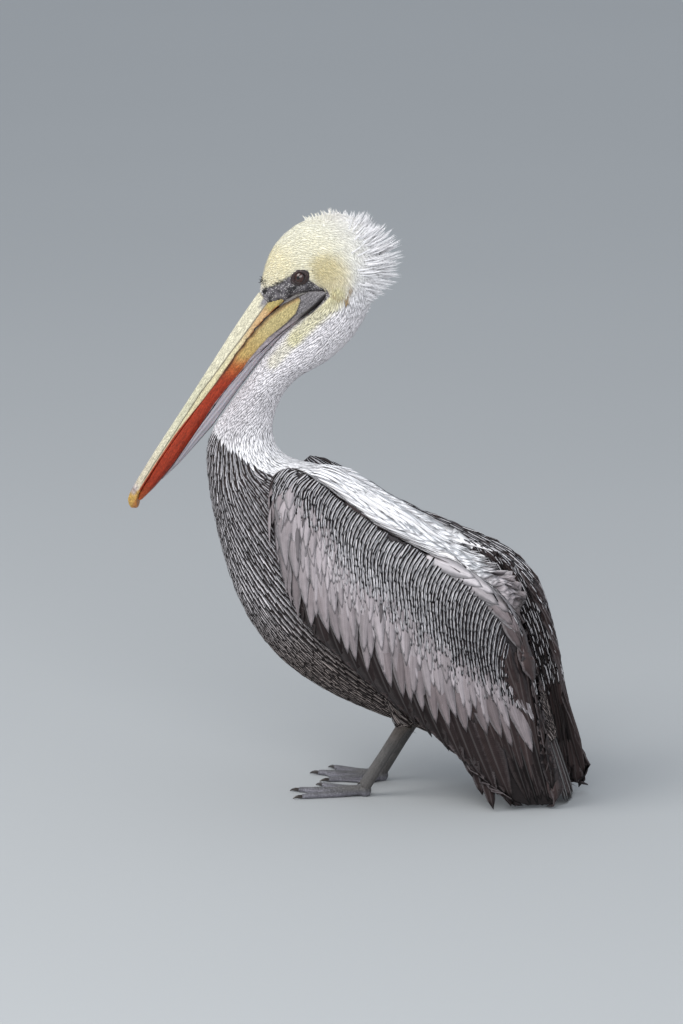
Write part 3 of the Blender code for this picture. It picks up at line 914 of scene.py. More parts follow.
def body_columns(row_gap, column_gap, keep, columns=192, samples=120):
    """Roots in columns that run along the body, so that the fringes of neighbours join into long lines.

    Columns drop out where the body narrows. Returns the roots and the space between columns at each.
    """
    pick = np.linspace(0, len(AXIS) - 1, samples).astype(int)
    sideways = np.array((1.0, 0.0, 0.0))
    upright = np.cross(AXIS_HEADING[pick], sideways)
    turn = np.arange(columns) * 2 * math.pi / columns
    out = np.cos(turn)[None, :, None] * sideways + np.sin(turn)[None, :, None] * upright[:, None]
    origins = np.repeat(AXIS[pick][:, None], columns, axis=1)
    away, _ = BODY_GUIDE.ray(origins.reshape(-1, 3), out.reshape(-1, 3))
    away = away.reshape(samples, columns)
    hit = np.isfinite(away)
    grid = origins + out * np.where(hit, away, 0)[..., None]
    gap = np.linalg.norm(np.roll(grid, -1, axis=1) - grid, axis=2)
    gap = (gap + np.roll(gap, 1, axis=1) + np.roll(gap, -1, axis=1)) / 3
    roots, spaces = [], []
    for k in range(columns):
        run = np.linalg.norm(np.diff(grid[:, k], axis=0, prepend=grid[:1, k]), axis=1)
        arc = np.cumsum(np.where(run < 20 * MM, run, 0))
        gaps = row_gap * RNG.uniform(0.85, 1.15, int(arc[-1] / row_gap / 0.8))
        at = np.cumsum(gaps) - row_gap * RNG.random()
        at = at[(at > 0) & (at < arc[-1])]
        place = np.column_stack([np.interp(at, arc, grid[:, k, m]) for m in range(3)])
        space = np.interp(at, arc, gap[:, k])
        level = 2 ** np.ceil(np.log2(np.maximum(0.75 * column_gap / np.maximum(space, 1e-4), 1.0)))
        good = (k % level == 0) & (np.interp(at, arc, hit[:, k]) > 0.99)
        roots.append(place[good])
        spaces.append((space * level)[good])
    spots, normals = BODY_GUIDE.nearest(np.concatenate(roots))
    chosen = keep(spots, normals)
    return spots[chosen], np.concatenate(spaces)[chosen]


def make_underparts():
    """Narrow dark feathers of breast, belly, flanks and rump, each with a pale streak."""
    streaked = feather_material("streaked", (0.48, 0.62), barbs=20, uneven=0.1, sheen=0.03)

    def keep(places, normals):
        return (BODY_FINDER(places) >= 2) & (above_neck_line(places) < 3)

    roots, spaces = body_columns(14 * MM, 5.6 * MM, keep)
    count = len(roots)
    sizes = varied(count, (31 + 8 * (1 - smooth_step(roots[:, 2] / MM, 250, 480))) * MM, 0.15)
    halves = varied(count, 0.62 * spaces, 0.1)
    lifts = np.abs(RNG.normal(0, 0.4 * MM, count))
    spines, ups = lay(BODY_GUIDE, roots, axis_heading, sizes, steps=7, sunk=3.2 * MM, proud=0.6 * MM,
                      stray=0.07, lifts=lifts)
    coat, streak = underparts(roots)
    coat = coat * (0.8 + 0.4 * RNG.random((count, 1)))
    streak = streak * (0.75 + 0.4 * RNG.random((count, 1)))
    vanes("plumage_underparts", spines, ups, halves, coat, streak, streaked, "dark_feathers",
          broad=0.4, point=0.35, camber=0.14, thick=0.22 * MM)


# ---------------------------------------------------------------- wings

EDGE_MARGIN = 2.0  # mm inside a wing's outline up to which its surface is looked up
USUAL_X = 0.09  # a wing's usual distance from the bird's middle, in metres


class Wing:
    """A folded wing, laid out flat along its chord.

    u runs in mm from the middle of its lesser coverts towards its tip, v in mm across that, up and back.
    """

    def __init__(self, side):
        self.side = side
        self.sign = SIDES[side]
        self.names = [f"wing_{side}_{part}" for part in WING_PARTS]
        self.guide = Surface(merged(f"wing_{side}_guide", self.names, WING_GUIDE_VOXEL, 5))
        self.origin = middle(self.names[0])[1:]
        self.e1 = unit(middle(self.names[3])[1:] - self.origin)
        self.e2 = np.array((-self.e1[1], self.e1[0]))
        u, v = self.flat_of(self.guide.points)
        self.stations = np.arange(math.ceil(u.min() / 10) * 10 + 10, u.max() - 4, 10.0)
        self.end = self.stations[-1]
        near = [np.abs(u - s) < 5 for s in self.stations]
        self.ridge_v = np.array([v[n].max() for n in near])
        self.low_v = np.array([v[n].min() for n in near])

    def ridge(self, u):
        return np.interp(u, self.stations, self.ridge_v)

    def low(self, u):
        return np.interp(u, self.stations, self.low_v)

    def span(self, u):
        return self.ridge(u) - self.low(u)

    def v_at(self, u, b):
        """v at a share of the way down from the ridge to the lower edge."""
        return self.ridge(u) + (self.low(u) - self.ridge(u)) * b

    def flat_place(self, u, v):
        """y and z in metres."""
        return self.origin + (np.asarray(u)[..., None] * self.e1 + np.asarray(v)[..., None] * self.e2) * MM

    def flat_of(self, places):
        """u and v of places in space."""
        flat = (places[..., 1:] - self.origin) / MM
        return flat @ self.e1, flat @ self.e2

    def share_down(self, places):
        """u of places, and their share of the way down."""
        u, v = self.flat_of(places)
        return u, (self.ridge(u) - v) / np.maximum(self.span(u), 1)

    def lie(self, angle):
        """Directions in y and z that point an angle below the chord."""
        return np.cos(angle)[:, None] * self.e1 - np.sin(angle)[:, None] * self.e2

    def face(self, u, v, inner=False):
        """The outer or inner side's place and normal at u, v. Past the edge it goes on straight."""
        facing = -self.sign if inner else self.sign
        held_u = np.clip(u, self.stations[0], self.end)
        held_v = np.clip(v, self.low(held_u) + EDGE_MARGIN, self.ridge(held_u) - EDGE_MARGIN)
        flat = self.flat_place(held_u, held_v).reshape(-1, 2)
        origins = np.column_stack([np.full(len(flat), OUTSIDE * facing), flat])
        away, faces = self.guide.ray(origins, np.tile((-facing, 0.0, 0.0), (len(flat), 1)))
        missed = ~np.isfinite(away)
        places = np.column_stack([OUTSIDE * facing - facing * np.where(missed, 0, away), flat])
        normals = np.zeros_like(places)
        normals[~missed] = self.guide.normals_at(places[~missed], faces[~missed])
        if missed.any():
            guess = np.column_stack([np.full(missed.sum(), USUAL_X * self.sign), flat[missed]])
            places[missed], normals[missed] = self.guide.nearest(guess)
        places[:, 1:] = self.flat_place(u, v).reshape(-1, 2)
        normals[:, 0] = np.where(normals[:, 0] * facing < 0.3, 0.3 * facing, normals[:, 0])
        shape = (*np.shape(u), 3)
        return places.reshape(shape), unit(normals).reshape(shape)


def laid_out(wing, tip_u, tip_v, heading, lengths, steps, sunk, proud, bend=0.0, inner=False):
    """Spines on a wing's side from their tips. heading is degrees below the chord; bend curves them."""
    share = np.linspace(0, 1, steps)
    angle = np.radians(heading)[:, None] + np.radians(bend) * (1 - share)[None] ** 1.5
    angle = (angle[:, 1:] + angle[:, :-1]) / 2
    step = np.diff(share) * lengths[:, None]
    behind = np.cumsum((step * np.cos(angle))[:, ::-1], axis=1)[:, ::-1]
    above = np.cumsum((step * np.sin(angle))[:, ::-1], axis=1)[:, ::-1]
    u = np.column_stack([tip_u[:, None] - behind, tip_u])
    v = np.column_stack([tip_v[:, None] + above, tip_v])
    places, ups = wing.face(u, v, inner)
    places[..., 0] = smoothed_rows(places[..., 0])
    ups = unit(smoothed_rows(ups))
    height = -sunk + (proud + sunk) * share[:, None] ** 0.8
    return places + ups * height.T[..., None], ups


def smoothed_rows(values, rounds=2):
    """Rows of values evened out along each row, apart from its ends."""
    values = values.copy()
    for _ in range(rounds):
        values[:, 1:-1] = (values[:, :-2] + 2 * values[:, 1:-1] + values[:, 2:]) / 4
    return values


def covert_line(wing, u):
    """v of the greater coverts' tips."""
    share = np.interp(u, (-200, -20, 20, 100, 175, 215, 245, 275, 315, 335),
                      (1.0, 1.0, 0.9, 0.9, 0.89, 0.84, 0.72, 0.5, 0.34, 0.1))
    return wing.v_at(u, share)


def streak_share(u):
    """Share of the way down where the small black and white coverts end."""
    return np.interp(u, (-190, -177, -156, -115, -69, 37, 133, 175, 215, 250, 300),
                     (1.0, 0.6, 0.42, 0.25, 0.29, 0.4, 0.41, 0.31, 0.22, 0.12, 0.0))


def lesser_lean(wing, u, b):
    """Degrees below the chord at which the small coverts point: steep at ridge and front, then less."""
    front = wing.stations[0]
    along_front = 22 * (1 - smooth_step(u, front, front + 50)) * (1 - smooth_step(b, 0.5, 0.9))
    return 68 - 38 * smooth_step(b, 0.02, 0.36) - 14 * smooth_step(u, 120, 260) + along_front


def walked(surface, places, heading, step, count):
    """Places on a surface, a row for each step, reached by walking from the first ones along a heading."""
    spots, normals = surface.nearest(places)
    rows = [spots]
    for _ in range(count):
        way = unit(flattened(heading(spots, normals), normals))
        spots, normals = surface.nearest(spots + way * step)
        rows.append(spots)
    return np.array(rows)


def lesser_roots(wing, heading, row_gap, column_gap):
    """Roots in even columns that follow the lie from inside the ridge over it and down the wing."""
    front, last, step = wing.stations[0] + 3, 305, 2.0
    starts, u = [], front
    while u < last:
        starts.append((u, wing.v_at(u, 0.25)))
        slope = math.atan2(wing.v_at(u + 8, 0.25) - wing.v_at(u - 8, 0.25), 16)
        crossing = math.sin(max(math.radians(lesser_lean(wing, u, 0.25)) + slope, 0.3))
        u += column_gap / crossing * math.cos(slope)
    v = wing.v_at(front, 0.3)
    while v > wing.low(front) + column_gap:
        starts.append((front, v))
        v -= 2 * column_gap
    starts, _ = wing.face(*np.array(starts).T)
    down = walked(wing.guide, starts, heading, step * MM, 80)
    back = walked(wing.guide, starts, heading, -step * MM, 40)
    track = np.concatenate([back[:0:-1], down])
    roots = []
    for k in range(track.shape[1]):
        rows = np.arange(RNG.random() * row_gap / step, len(track) - 1, row_gap / step)
        roots.append(track[(rows + RNG.uniform(0, 0.9, len(rows))).astype(int), k])
    roots = np.concatenate(roots)
    _, normals = wing.guide.nearest(roots)
    u, b = wing.share_down(roots)
    past_ridge = np.where(normals[:, 0] * wing.sign < 0, b * wing.span(u), 0)
    strands_end = (wing.ridge(u) - covert_line(wing, u) - 88) / np.maximum(wing.span(u), 1)
    end = np.maximum(strands_end, streak_share(u))
    return roots[(b < end) & (past_ridge < 3) & (u < last + 14)]


def make_lesser_coverts(wing):
    """Narrow black feathers with white fringes from over the ridge downwards, paling into silver strands."""
    barred = feather_material(f"barred_{wing.side}", (0.42, 0.58), barbs=16, uneven=0.07, sheen=0.03)
    column_gap = 5.3

    def heading(places, normals):
        u, b = wing.share_down(places)
        flat = wing.lie(np.radians(lesser_lean(wing, u, b)))
        facing = np.clip(normals[:, 0] * wing.sign * 2.5 + 0.3, -1, 1)
        out = 0.9 * (1 - smooth_step(b, 0.0, 0.12))
        return np.column_stack([out * wing.sign, flat * facing[:, None]])

    roots = lesser_roots(wing, heading, 13.0, column_gap)
    count = len(roots)
    u, b = wing.share_down(roots)
    border = streak_share(u)
    fade = (smooth_step(b, border - 0.05, border + 0.28) + RNG.normal(0, 0.06, count)).clip(0, 1)
    near_border = smooth_step(b, 0.4 * border, border)
    rear = smooth_step(u, 20, 160)
    sizes = varied(count, 28 * MM, 0.12) * (1 + 0.4 * fade)
    halves = varied(count, 0.62 * column_gap * MM, 0.1) * (1 + 0.45 * fade)
    lifts = np.abs(RNG.normal(0, 0.4 * MM, count)) * smooth_step(b, 0.02, 0.1)
    spines, ups = lay(wing.guide, roots, heading, sizes, steps=7, sunk=2.2 * MM, proud=1.2 * MM,
                      stray=0.06, lifts=lifts)
    tips, _ = wing.guide.nearest(spines[:, -1])
    flat = np.linalg.norm(tips - spines[:, -1], axis=1) < 3.6 * MM
    spines, ups, halves, fade, near_border, rear = (
        part[flat] for part in (spines, ups, halves, fade, near_border, rear))
    light = RNG.uniform(0.86, 1.05, (len(fade), 1)) * (1 - 0.12 * rear[:, None])
    spread = 0.12 * near_border + 0.34 * fade - 0.13 * rear + RNG.normal(0, 0.04, len(fade))
    vanes(f"plumage_wing_{wing.side}_lesser", spines, ups, halves,
          blend(COVERT_BLACK, SILVER * 0.9, smooth_step(fade, 0.12, 0.65)),
          blend(COVERT_EDGE, SILVER, fade) * light, barred, "dark_feathers",
          point=0.35, thick=0.22 * MM, spread=spread)


def within_wing(wing, u, v, heading, sizes):
    """Feather lengths, in mm, cut so that roots stay under the ridge and behind the wing's front."""
    for _ in range(8):
        turn = np.radians(heading)
        root_u, root_v = u - np.cos(turn) * sizes, v + np.sin(turn) * sizes
        outside = (root_v > wing.ridge(root_u) - 8) | (root_u < wing.stations[0] + 6)
        sizes = np.where(outside, sizes * 0.86, sizes)
    return sizes


def make_greater_coverts(wing):
    """Silver coverts: narrow pale strands below the streaks, then broad pointed leaves."""
    silver = feather_material(f"silver_{wing.side}", (0.6, 0.95), -0.12, roughness=0.65, outline=0.7,
                              sheen=0.06)
    rows = (  # mm above the covert line, spacing, length, half width
        (0, 19, 104, 12.8), (20, 19, 98, 12.4), (41, 16, 88, 10.6), (58, 13.5, 74, 8.6), (72, 11, 60, 6.8),
        (84, 8.5, 46, 5.2), (94, 7, 40, 4.2),
    )
    feathers = []
    for n, (above, spacing, length, half) in enumerate(rows):
        u = np.arange(wing.stations[0] + 26, 330 - 0.35 * above, spacing) + (spacing / 2) * (n % 2)
        u = u + RNG.uniform(-0.2, 0.2, len(u)) * spacing
        v = covert_line(wing, u) + above + RNG.normal(0, 3.5, len(u))
        fits = v < wing.v_at(u, streak_share(u)) - 6
        u, v = u[fits], v[fits]
        scale = np.clip((wing.ridge(u) - v) / 50, 0.85, 1.0)
        feathers.append((u, v, varied(len(u), length * scale, 0.08), varied(len(u), half * scale, 0.14)))
    u, v, sizes, halves = (np.concatenate(parts) for parts in zip(*feathers))
    count, steps = len(u), 11
    level = np.clip((v - covert_line(wing, u)) / 90, 0, 1)
    heading = 30 - 13 * smooth_step(u, 140, 320) + RNG.normal(0, 3.2, count)
    sizes = within_wing(wing, u, v, heading + 7, sizes)
    sunk = (3.0 + 1.6 * smooth_step(level, 0.3, 0.7)) * MM
    proud = (1.8 - 0.3 * level) * MM + np.abs(RNG.normal(0, 0.7, count)) * MM
    spines, ups = laid_out(wing, u, v, heading, sizes, steps, sunk, proud, bend=14)
    share = (wing.ridge(u) - v) / wing.span(u)
    border = streak_share(u)
    near_streaks = 1 - smooth_step(share, border + 0.02, border + 0.22)
    brown = 0.15 + 0.25 * smooth_step(u, 60, 300) + 0.5 * (1 - smooth_step(level, 0.0, 0.45))
    brown = (brown + RNG.uniform(-0.2, 0.25, count)).clip(0, 1)
    coat = coated(SILVER_PALE, (SILVER_BROWN, brown), (COVERT_BLACK * 2.5, 0.5 * near_streaks))
    # Painted shade: each leaf is darker towards its root, where the row above would shade it
    coat = coat[:, None] * (0.74 + 0.3 * np.linspace(0, 1, steps))[None, :, None]
    odd = RNG.random(count) < 0.012
    coat[odd] = coat[odd] * 0.35
    fringe = blend(blend(SILVER_EDGE, SILVER, brown), COVERT_EDGE, 0.6 * near_streaks)
    vanes(f"plumage_wing_{wing.side}_coverts", spines, ups, halves * MM, coat, fringe, silver,
          "silver_feathers", broad=0.5, camber=0.15, thick=0.3 * MM, spread=0.35 * near_streaks)


def above_floor(wing, u, v):
    """u of tips drawn back along the chord until they clear the floor by a few millimetres."""
    height = wing.flat_place(u, v)[:, 1] / MM
    return u - np.maximum(FLOOR_GAP + RNG.uniform(0, 12, len(u)) - height, 0) / -wing.e1[1]


def off_floor(spines):
    """Which vanes of a wing's tip run straight above the floor."""
    bend = np.linalg.norm(np.diff(spines, 2, axis=1), axis=2).max(axis=1)
    return (bend < 2.5 * MM) & (spines[..., 2].min(axis=1) > 1.5 * MM)


def make_flight_feathers(wing):
    """Dark secondaries below the coverts, the fanned primaries of the tip, and broad tertials behind."""
    dark = feather_material(f"flight_{wing.side}", (0.35, 1.0), 0.04, barbs=60, roughness=0.6, uneven=0.12,
                            outline=0.7, sheen=0.02)
    end = wing.end
    end_middle = (wing.ridge(end) + wing.low(end)) / 2
    low_u = np.linspace(-14, end - 14, 14)
    upper_u = np.linspace(240, end - 30, 7)
    ridge_u = np.linspace(258, end - 8, 7)
    # Tips' u and v, degrees below the chord, lengths, half widths and layers (the higher, the further out)
    secondaries = (
        low_u, wing.low(low_u) - 4, np.interp(low_u, (-10, 60, 200, 300, 372), (24, 17, 14, 15, 17)),
        np.interp(low_u, (-10, 60, 150, 380), (60, 120, 165, 190)),
        np.interp(low_u, (-10, 60), (10, 17)), np.linspace(0.0, 0.45, 14))
    primaries = (
        np.linspace(end - 4, end + 9, 5), np.linspace(wing.low(end) - 2, end_middle + 6, 5),
        np.linspace(19, 27, 5), np.full(5, 185.0), np.full(5, 13.0), np.linspace(0.2, 0.5, 5))
    tertials = (
        upper_u, wing.v_at(upper_u, np.linspace(0.62, 0.45, 7)), np.linspace(17, 25, 7),
        np.linspace(120, 165, 7), np.linspace(15, 13, 7), np.linspace(0.45, 0.6, 7))
    long_tertials = (
        ridge_u, wing.v_at(ridge_u, 0.16), np.linspace(20, 30, 7), np.linspace(110, 150, 7),
        np.linspace(14, 11.5, 7), np.linspace(0.6, 0.8, 7))
    groups = zip(secondaries, primaries, tertials, long_tertials)
    u, v, heading, sizes, halves, layer = (np.concatenate(group) for group in groups)
    count = len(u)
    u = u + RNG.uniform(-3, 3, count) * (u < end - 6)
    heading = heading + RNG.normal(0, 1.2, count)
    sizes = within_wing(wing, u, v, heading, varied(count, sizes, 0.04))
    halves = varied(count, halves * MM, 0.08)
    proud = (-0.9 + 1.4 * layer) * MM + 0.4 * MM * RNG.random(count)
    u = above_floor(wing, u, v)
    spines, ups = laid_out(wing, u, v, heading, sizes, 14, (2.2 - layer) * MM, proud, bend=6)
    clear = off_floor(spines)
    spines, ups, halves, layer = (part[clear] for part in (spines, ups, halves, layer))
    count = len(layer)
    mix = np.clip(RNG.uniform(0, 0.4, count) + 0.5 * (layer > 0.44), 0, 1)
    coat = blend(FLIGHT_DARK, TERTIAL_BROWN, mix) * RNG.uniform(0.5, 1.7, (count, 1))
    fringe = blend(FLIGHT_EDGE, TERTIAL_EDGE, RNG.uniform(0, 0.8, count) * (layer > 0.3))
    vanes(f"plumage_wing_{wing.side}_flight", spines, ups, halves, coat, fringe, dark, "dark_feathers",
          (wing.names[3], wing.names[2]), broad=0.66, point=0.72, camber=0.14, thick=0.35 * MM)


def make_inner_face(wing):
    """The side towards the back: white-edged feathers at the top, and long dark ones below."""
    side, guide, end = wing.side, wing.guide, wing.end
    barred = feather_material(f"inner_barred_{side}", (0.4, 0.6), barbs=16, roughness=0.7, sheen=0.03)
    dark = feather_material(f"inner_{side}", (0.6, 1.0), 0.04, roughness=0.6, uneven=0.1, outline=0.5,
                            sheen=0.02)

    def on_inner(low_share, first, last):
        def keep(places, normals):
            u, b = wing.share_down(places)
            return (normals[:, 0] * wing.sign < 0.05) & (b < low_share) & (u > first) & (u < last)
        return keep

    def heading(places, normals):
        u, b = wing.share_down(places)
        lean = np.radians(4 + 12 * smooth_step(b, 0.0, 0.1) + 14 * smooth_step(u, 180, 340))
        return np.column_stack([np.zeros(len(u)), wing.lie(lean)])

    def plain(roots):
        return blend(TERTIAL_BROWN, FLIGHT_DARK, RNG.random(len(roots))), TERTIAL_EDGE * 0.6

    def white_edged(roots):
        return COVERT_BLACK, COVERT_EDGE * 0.9

    def growing(sizes, spread):
        def size(roots):
            u, _ = wing.share_down(roots)
            return varied(len(roots), np.interp(u, (-150, 0, 150, 300), sizes) * MM, spread)
        return size

    dress(f"plumage_wing_{side}_inner", guide, on_inner(0.8, -400, end - 40), plain, dark, "dark_feathers",
          spacing=9.0 * MM, length=growing((30, 50, 76, 95), 0.15), half_width=growing((5, 7, 9.5, 12), 0.1),
          steps=8, sunk=2.6 * MM, proud=0.4 * MM, stray=0.06, lift=0.6 * MM, heading=heading,
          broad=0.6, point=0.5)
    dress(f"plumage_wing_{side}_inner_barred", guide, on_inner(0.42, -400, 235), white_edged, barred,
          "dark_feathers", spacing=6.4 * MM, length=44 * MM, half_width=3.4 * MM, steps=8, sunk=1.4 * MM,
          proud=1.6 * MM, stray=0.05, lift=0.5 * MM, heading=heading, point=0.4)

    low_u = np.linspace(60, end - 6, 15)
    u = np.concatenate([low_u, np.linspace(end - 4, end + 8, 6)])
    tip_v = np.linspace(wing.low(end), (wing.ridge(end) + wing.low(end)) / 2 + 8, 6)
    v = np.concatenate([wing.low(low_u), tip_v])
    lean = np.interp(u, (60, 200, 300, end), (13, 10, 13, 22))
    sizes = within_wing(wing, u, v, lean, np.full(len(u), 150.0))
    proud = (np.linspace(0, 1, len(u)) - 0.8) * MM
    u = above_floor(wing, u, v)
    spines, ups = laid_out(wing, u, v, lean, sizes, 12, 2.0 * MM, proud, bend=5, inner=True)
    clear = off_floor(spines)
    coat = blend(FLIGHT_DARK, TERTIAL_BROWN, RNG.uniform(0.2, 0.8, clear.sum()))
    vanes(f"plumage_wing_{side}_inner_flight", spines[clear], ups[clear],
          varied(clear.sum(), 12.5 * MM, 0.1), coat, FLIGHT_EDGE, dark, "dark_feathers",
          broad=0.66, point=0.6, camber=0.14, thick=0.35 * MM)


def make_scapulars(wing):
    """Broad silver feathers that lie along the ridge, then rounder brown ones."""
    pale = feather_material(f"scapulars_{wing.side}", (0.6, 0.95), -0.12, roughness=0.65, outline=0.6,
                            sheen=0.06)
    u = np.arange(70, 246, 17.0)
    below = 3 if wing.sign > 0 else 11  # the photo shows them over the near ridge alone
    v = wing.ridge(u) - below - 5 * (np.arange(len(u)) % 2)
    sizes = np.interp(u, (70, 130, 246), (80, 96, 60))
    lean = np.degrees(np.arcsin((wing.ridge(u - sizes) - below + 2 - v) / sizes))
    spines, ups = laid_out(wing, u, v, lean, sizes, 10, 3.0 * MM, 2.2 * MM)
    brown = smooth_step(u, 170, 205)
    coat = coated(SILVER_EDGE * 0.85, (SILVER_BROWN, smooth_step(u, 90, 170)), (TERTIAL_BROWN * 1.2, brown))
    vanes(f"plumage_wing_{wing.side}_scapulars", spines, ups, varied(len(u), 12.5 * MM, 0.08), coat,
          blend(SILVER_EDGE, TERTIAL_EDGE * 0.8, brown), pale, "silver_feathers",
          broad=0.6, point=0.6, camber=0.1)


def make_wing(side):
    """All tracts of one wing."""
    wing = Wing(side)
    make_inner_face(wing)
    make_flight_feathers(wing)
    make_greater_coverts(wing)
    make_lesser_coverts(wing)
    make_scapulars(wing)


# ---------------------------------------------------------------- back and tail

def roof_height(y):
    """Height of the wings' ridges at y, in mm, up to which the long feathers of the back are raised."""
    return np.interp(y, (-46, 34, 133, 230, 260, 276), (479, 426, 375, 323, 283, 240))


def make_mantle():
    """Long feathers over the back: white, then broad silver ones that roof the hollow between the wings."""
    white = feather_material("mantle", (0.6, 1.0), -0.02, roughness=0.7, uneven=0.03)
    silver = feather_material("scapulars", (0.6, 0.95), -0.1, roughness=0.65, outline=0.6, sheen=0.06)
    steps = 9

    def heading(places, normals):
        way = flow(places)
        way[:, 0] = places[:, 0] * 2.5
        return way

    def tract(name, material, slot, spacing, first, last, side, lengths, halves, sunk, proud, raised=True):
        """Feathers rooted from first to last, in mm along y, and up to side mm from the middle.

        lengths and halves pair places along y with sizes in mm. Raised ones arch up to the wings' ridges.
        """
        def keep(places, normals):
            y = places[:, 1] / MM
            inside = (np.abs(places[:, 0]) < side * MM) & (normals[:, 2] > 0.2) & (y > first) & (y < last)
            on_body = (FLESH_FINDER(places) < len(BODY)) & (BODY_FINDER(places) >= 4)
            return inside & on_body & (above_neck_line(places) > 5)

        roots = OUTER_GUIDE.scatter(spacing, keep)
        y = roots[:, 1] / MM
        sizes = varied(len(roots), np.interp(y, *lengths) * MM, 0.12)
        widths = varied(len(roots), np.interp(y, *halves) * MM, 0.12)
        spines, ups = lay(OUTER_GUIDE, roots, heading, sizes, steps, sunk, proud, stray=0.03)
        within = np.abs(spines[..., 0]).max(axis=1) < 76 * MM
        spines, ups, widths = spines[within], ups[within], widths[within]
        along = raised * np.linspace(0, 1, steps) ** 1.3
        hump = 8 * np.clip(1 - (spines[..., 0] / (95 * MM)) ** 2, 0, 1)
        roof = (roof_height(spines[..., 1] / MM) - 7 + hump) * MM
        spines[..., 2] += along * np.maximum(roof - spines[..., 2], 0)
        ups = unit(ups + along[:, None] * np.array((0.0, 0.5, 1.2)))
        tip = spines[:, -1, 1] / MM
        grey, brown = smooth_step(tip, 190, 240), smooth_step(tip, 240, 264)
        coat = coated(WHITE, (SILVER * 1.1, grey), (TERTIAL_BROWN * 1.2, brown))
        fringe = coated(WHITE, (SILVER_EDGE, grey), (TERTIAL_EDGE * 0.8, brown))
        vanes(name, spines, ups, widths, coat, fringe, material, slot,
              broad=0.6, point=0.6, camber=0.03, thick=0.12 * MM)

    tract("plumage_mantle", white, "white_feathers", 8.0 * MM, first=-70, last=130, side=58,
          lengths=((-70, 0, 130), (60, 100, 110)), halves=((-70, 0, 130), (5, 10, 12)),
          sunk=3.4 * MM, proud=0.7 * MM)
    tract("plumage_scapulars", silver, "silver_feathers", 15.0 * MM, first=70, last=200, side=62,
          lengths=((70, 150, 200), (130, 120, 90)), halves=((70, 200), (15, 17)),
          sunk=3.0 * MM, proud=1.6 * MM)
    tract("plumage_rump", silver, "dark_feathers", 9.0 * MM, first=175, last=300, side=60,
          lengths=((175, 300), (60, 40)), halves=((175, 300), (8, 7)),
          sunk=3.0 * MM, proud=1.2 * MM, raised=False)


def make_tail():
    """Short broad tail feathers in a fan down to the floor, over the CAD tail's blade."""
    dark = feather_material("tail", (0.78, 0.97), 0.3, barbs=60, roughness=0.55, uneven=0.07)
    points, _ = node_mesh("tail")
    low, high = points.min(0), points.max(0)
    top = points[points[:, 2] > high[2] - 12 * MM].mean(0)
    foot = points[points[:, 2] < low[2] + 6 * MM].mean(0)
    count, steps = 22, 12
    fan = np.linspace(-1, 1, count)
    off_middle = np.abs(fan)
    top_y, top_z = np.full(count, top[1] - 6 * MM), np.full(count, top[2] + 6 * MM)
    start = np.column_stack([fan * 14 * MM, top_y, top_z])
    end = np.column_stack([fan * (high[0] - 11 * MM), foot[1] - 2 * MM * off_middle,
                           0.8 * MM + 5 * MM * off_middle**3])
    way = end - start
    layer = (np.abs(np.arange(count) - count / 2) % 6) * 0.7 * MM
    normal = unit(np.cross(way, np.tile((1.0, 0, 0), (count, 1))))
    normal = normal * np.where(normal[:, 1:2] < 0, -1, 1)
    start = start + normal * (layer - 2 * MM)[:, None]
    spines = start[:, None] + way[:, None] * np.linspace(0, 1, steps)[None, :, None]
    ups = np.repeat(normal[:, None], steps, axis=1)
    coat = blend(FLIGHT_DARK, TERTIAL_BROWN, RNG.uniform(0.1, 0.7, count))
    vanes("plumage_tail", spines, ups, varied(count, 10 * MM, 0.08), coat, TERTIAL_EDGE * 0.7, dark,
          "dark_feathers", ("tail",), broad=0.75, point=0.4, camber=0.1, thick=0.35 * MM)


CREST_OUTLINE = (  # degrees up from straight back, and mm from the middle of the head to the spikes' tips
    (-45, 80), (-33, 82), (-23, 87), (-17, 94), (-9, 104), (5, 112), (12, 118), (20, 122), (27, 118),
    (36, 114), (43, 111), (54, 104), (60, 101), (70, 93), (94, 86), (116, 84),
)


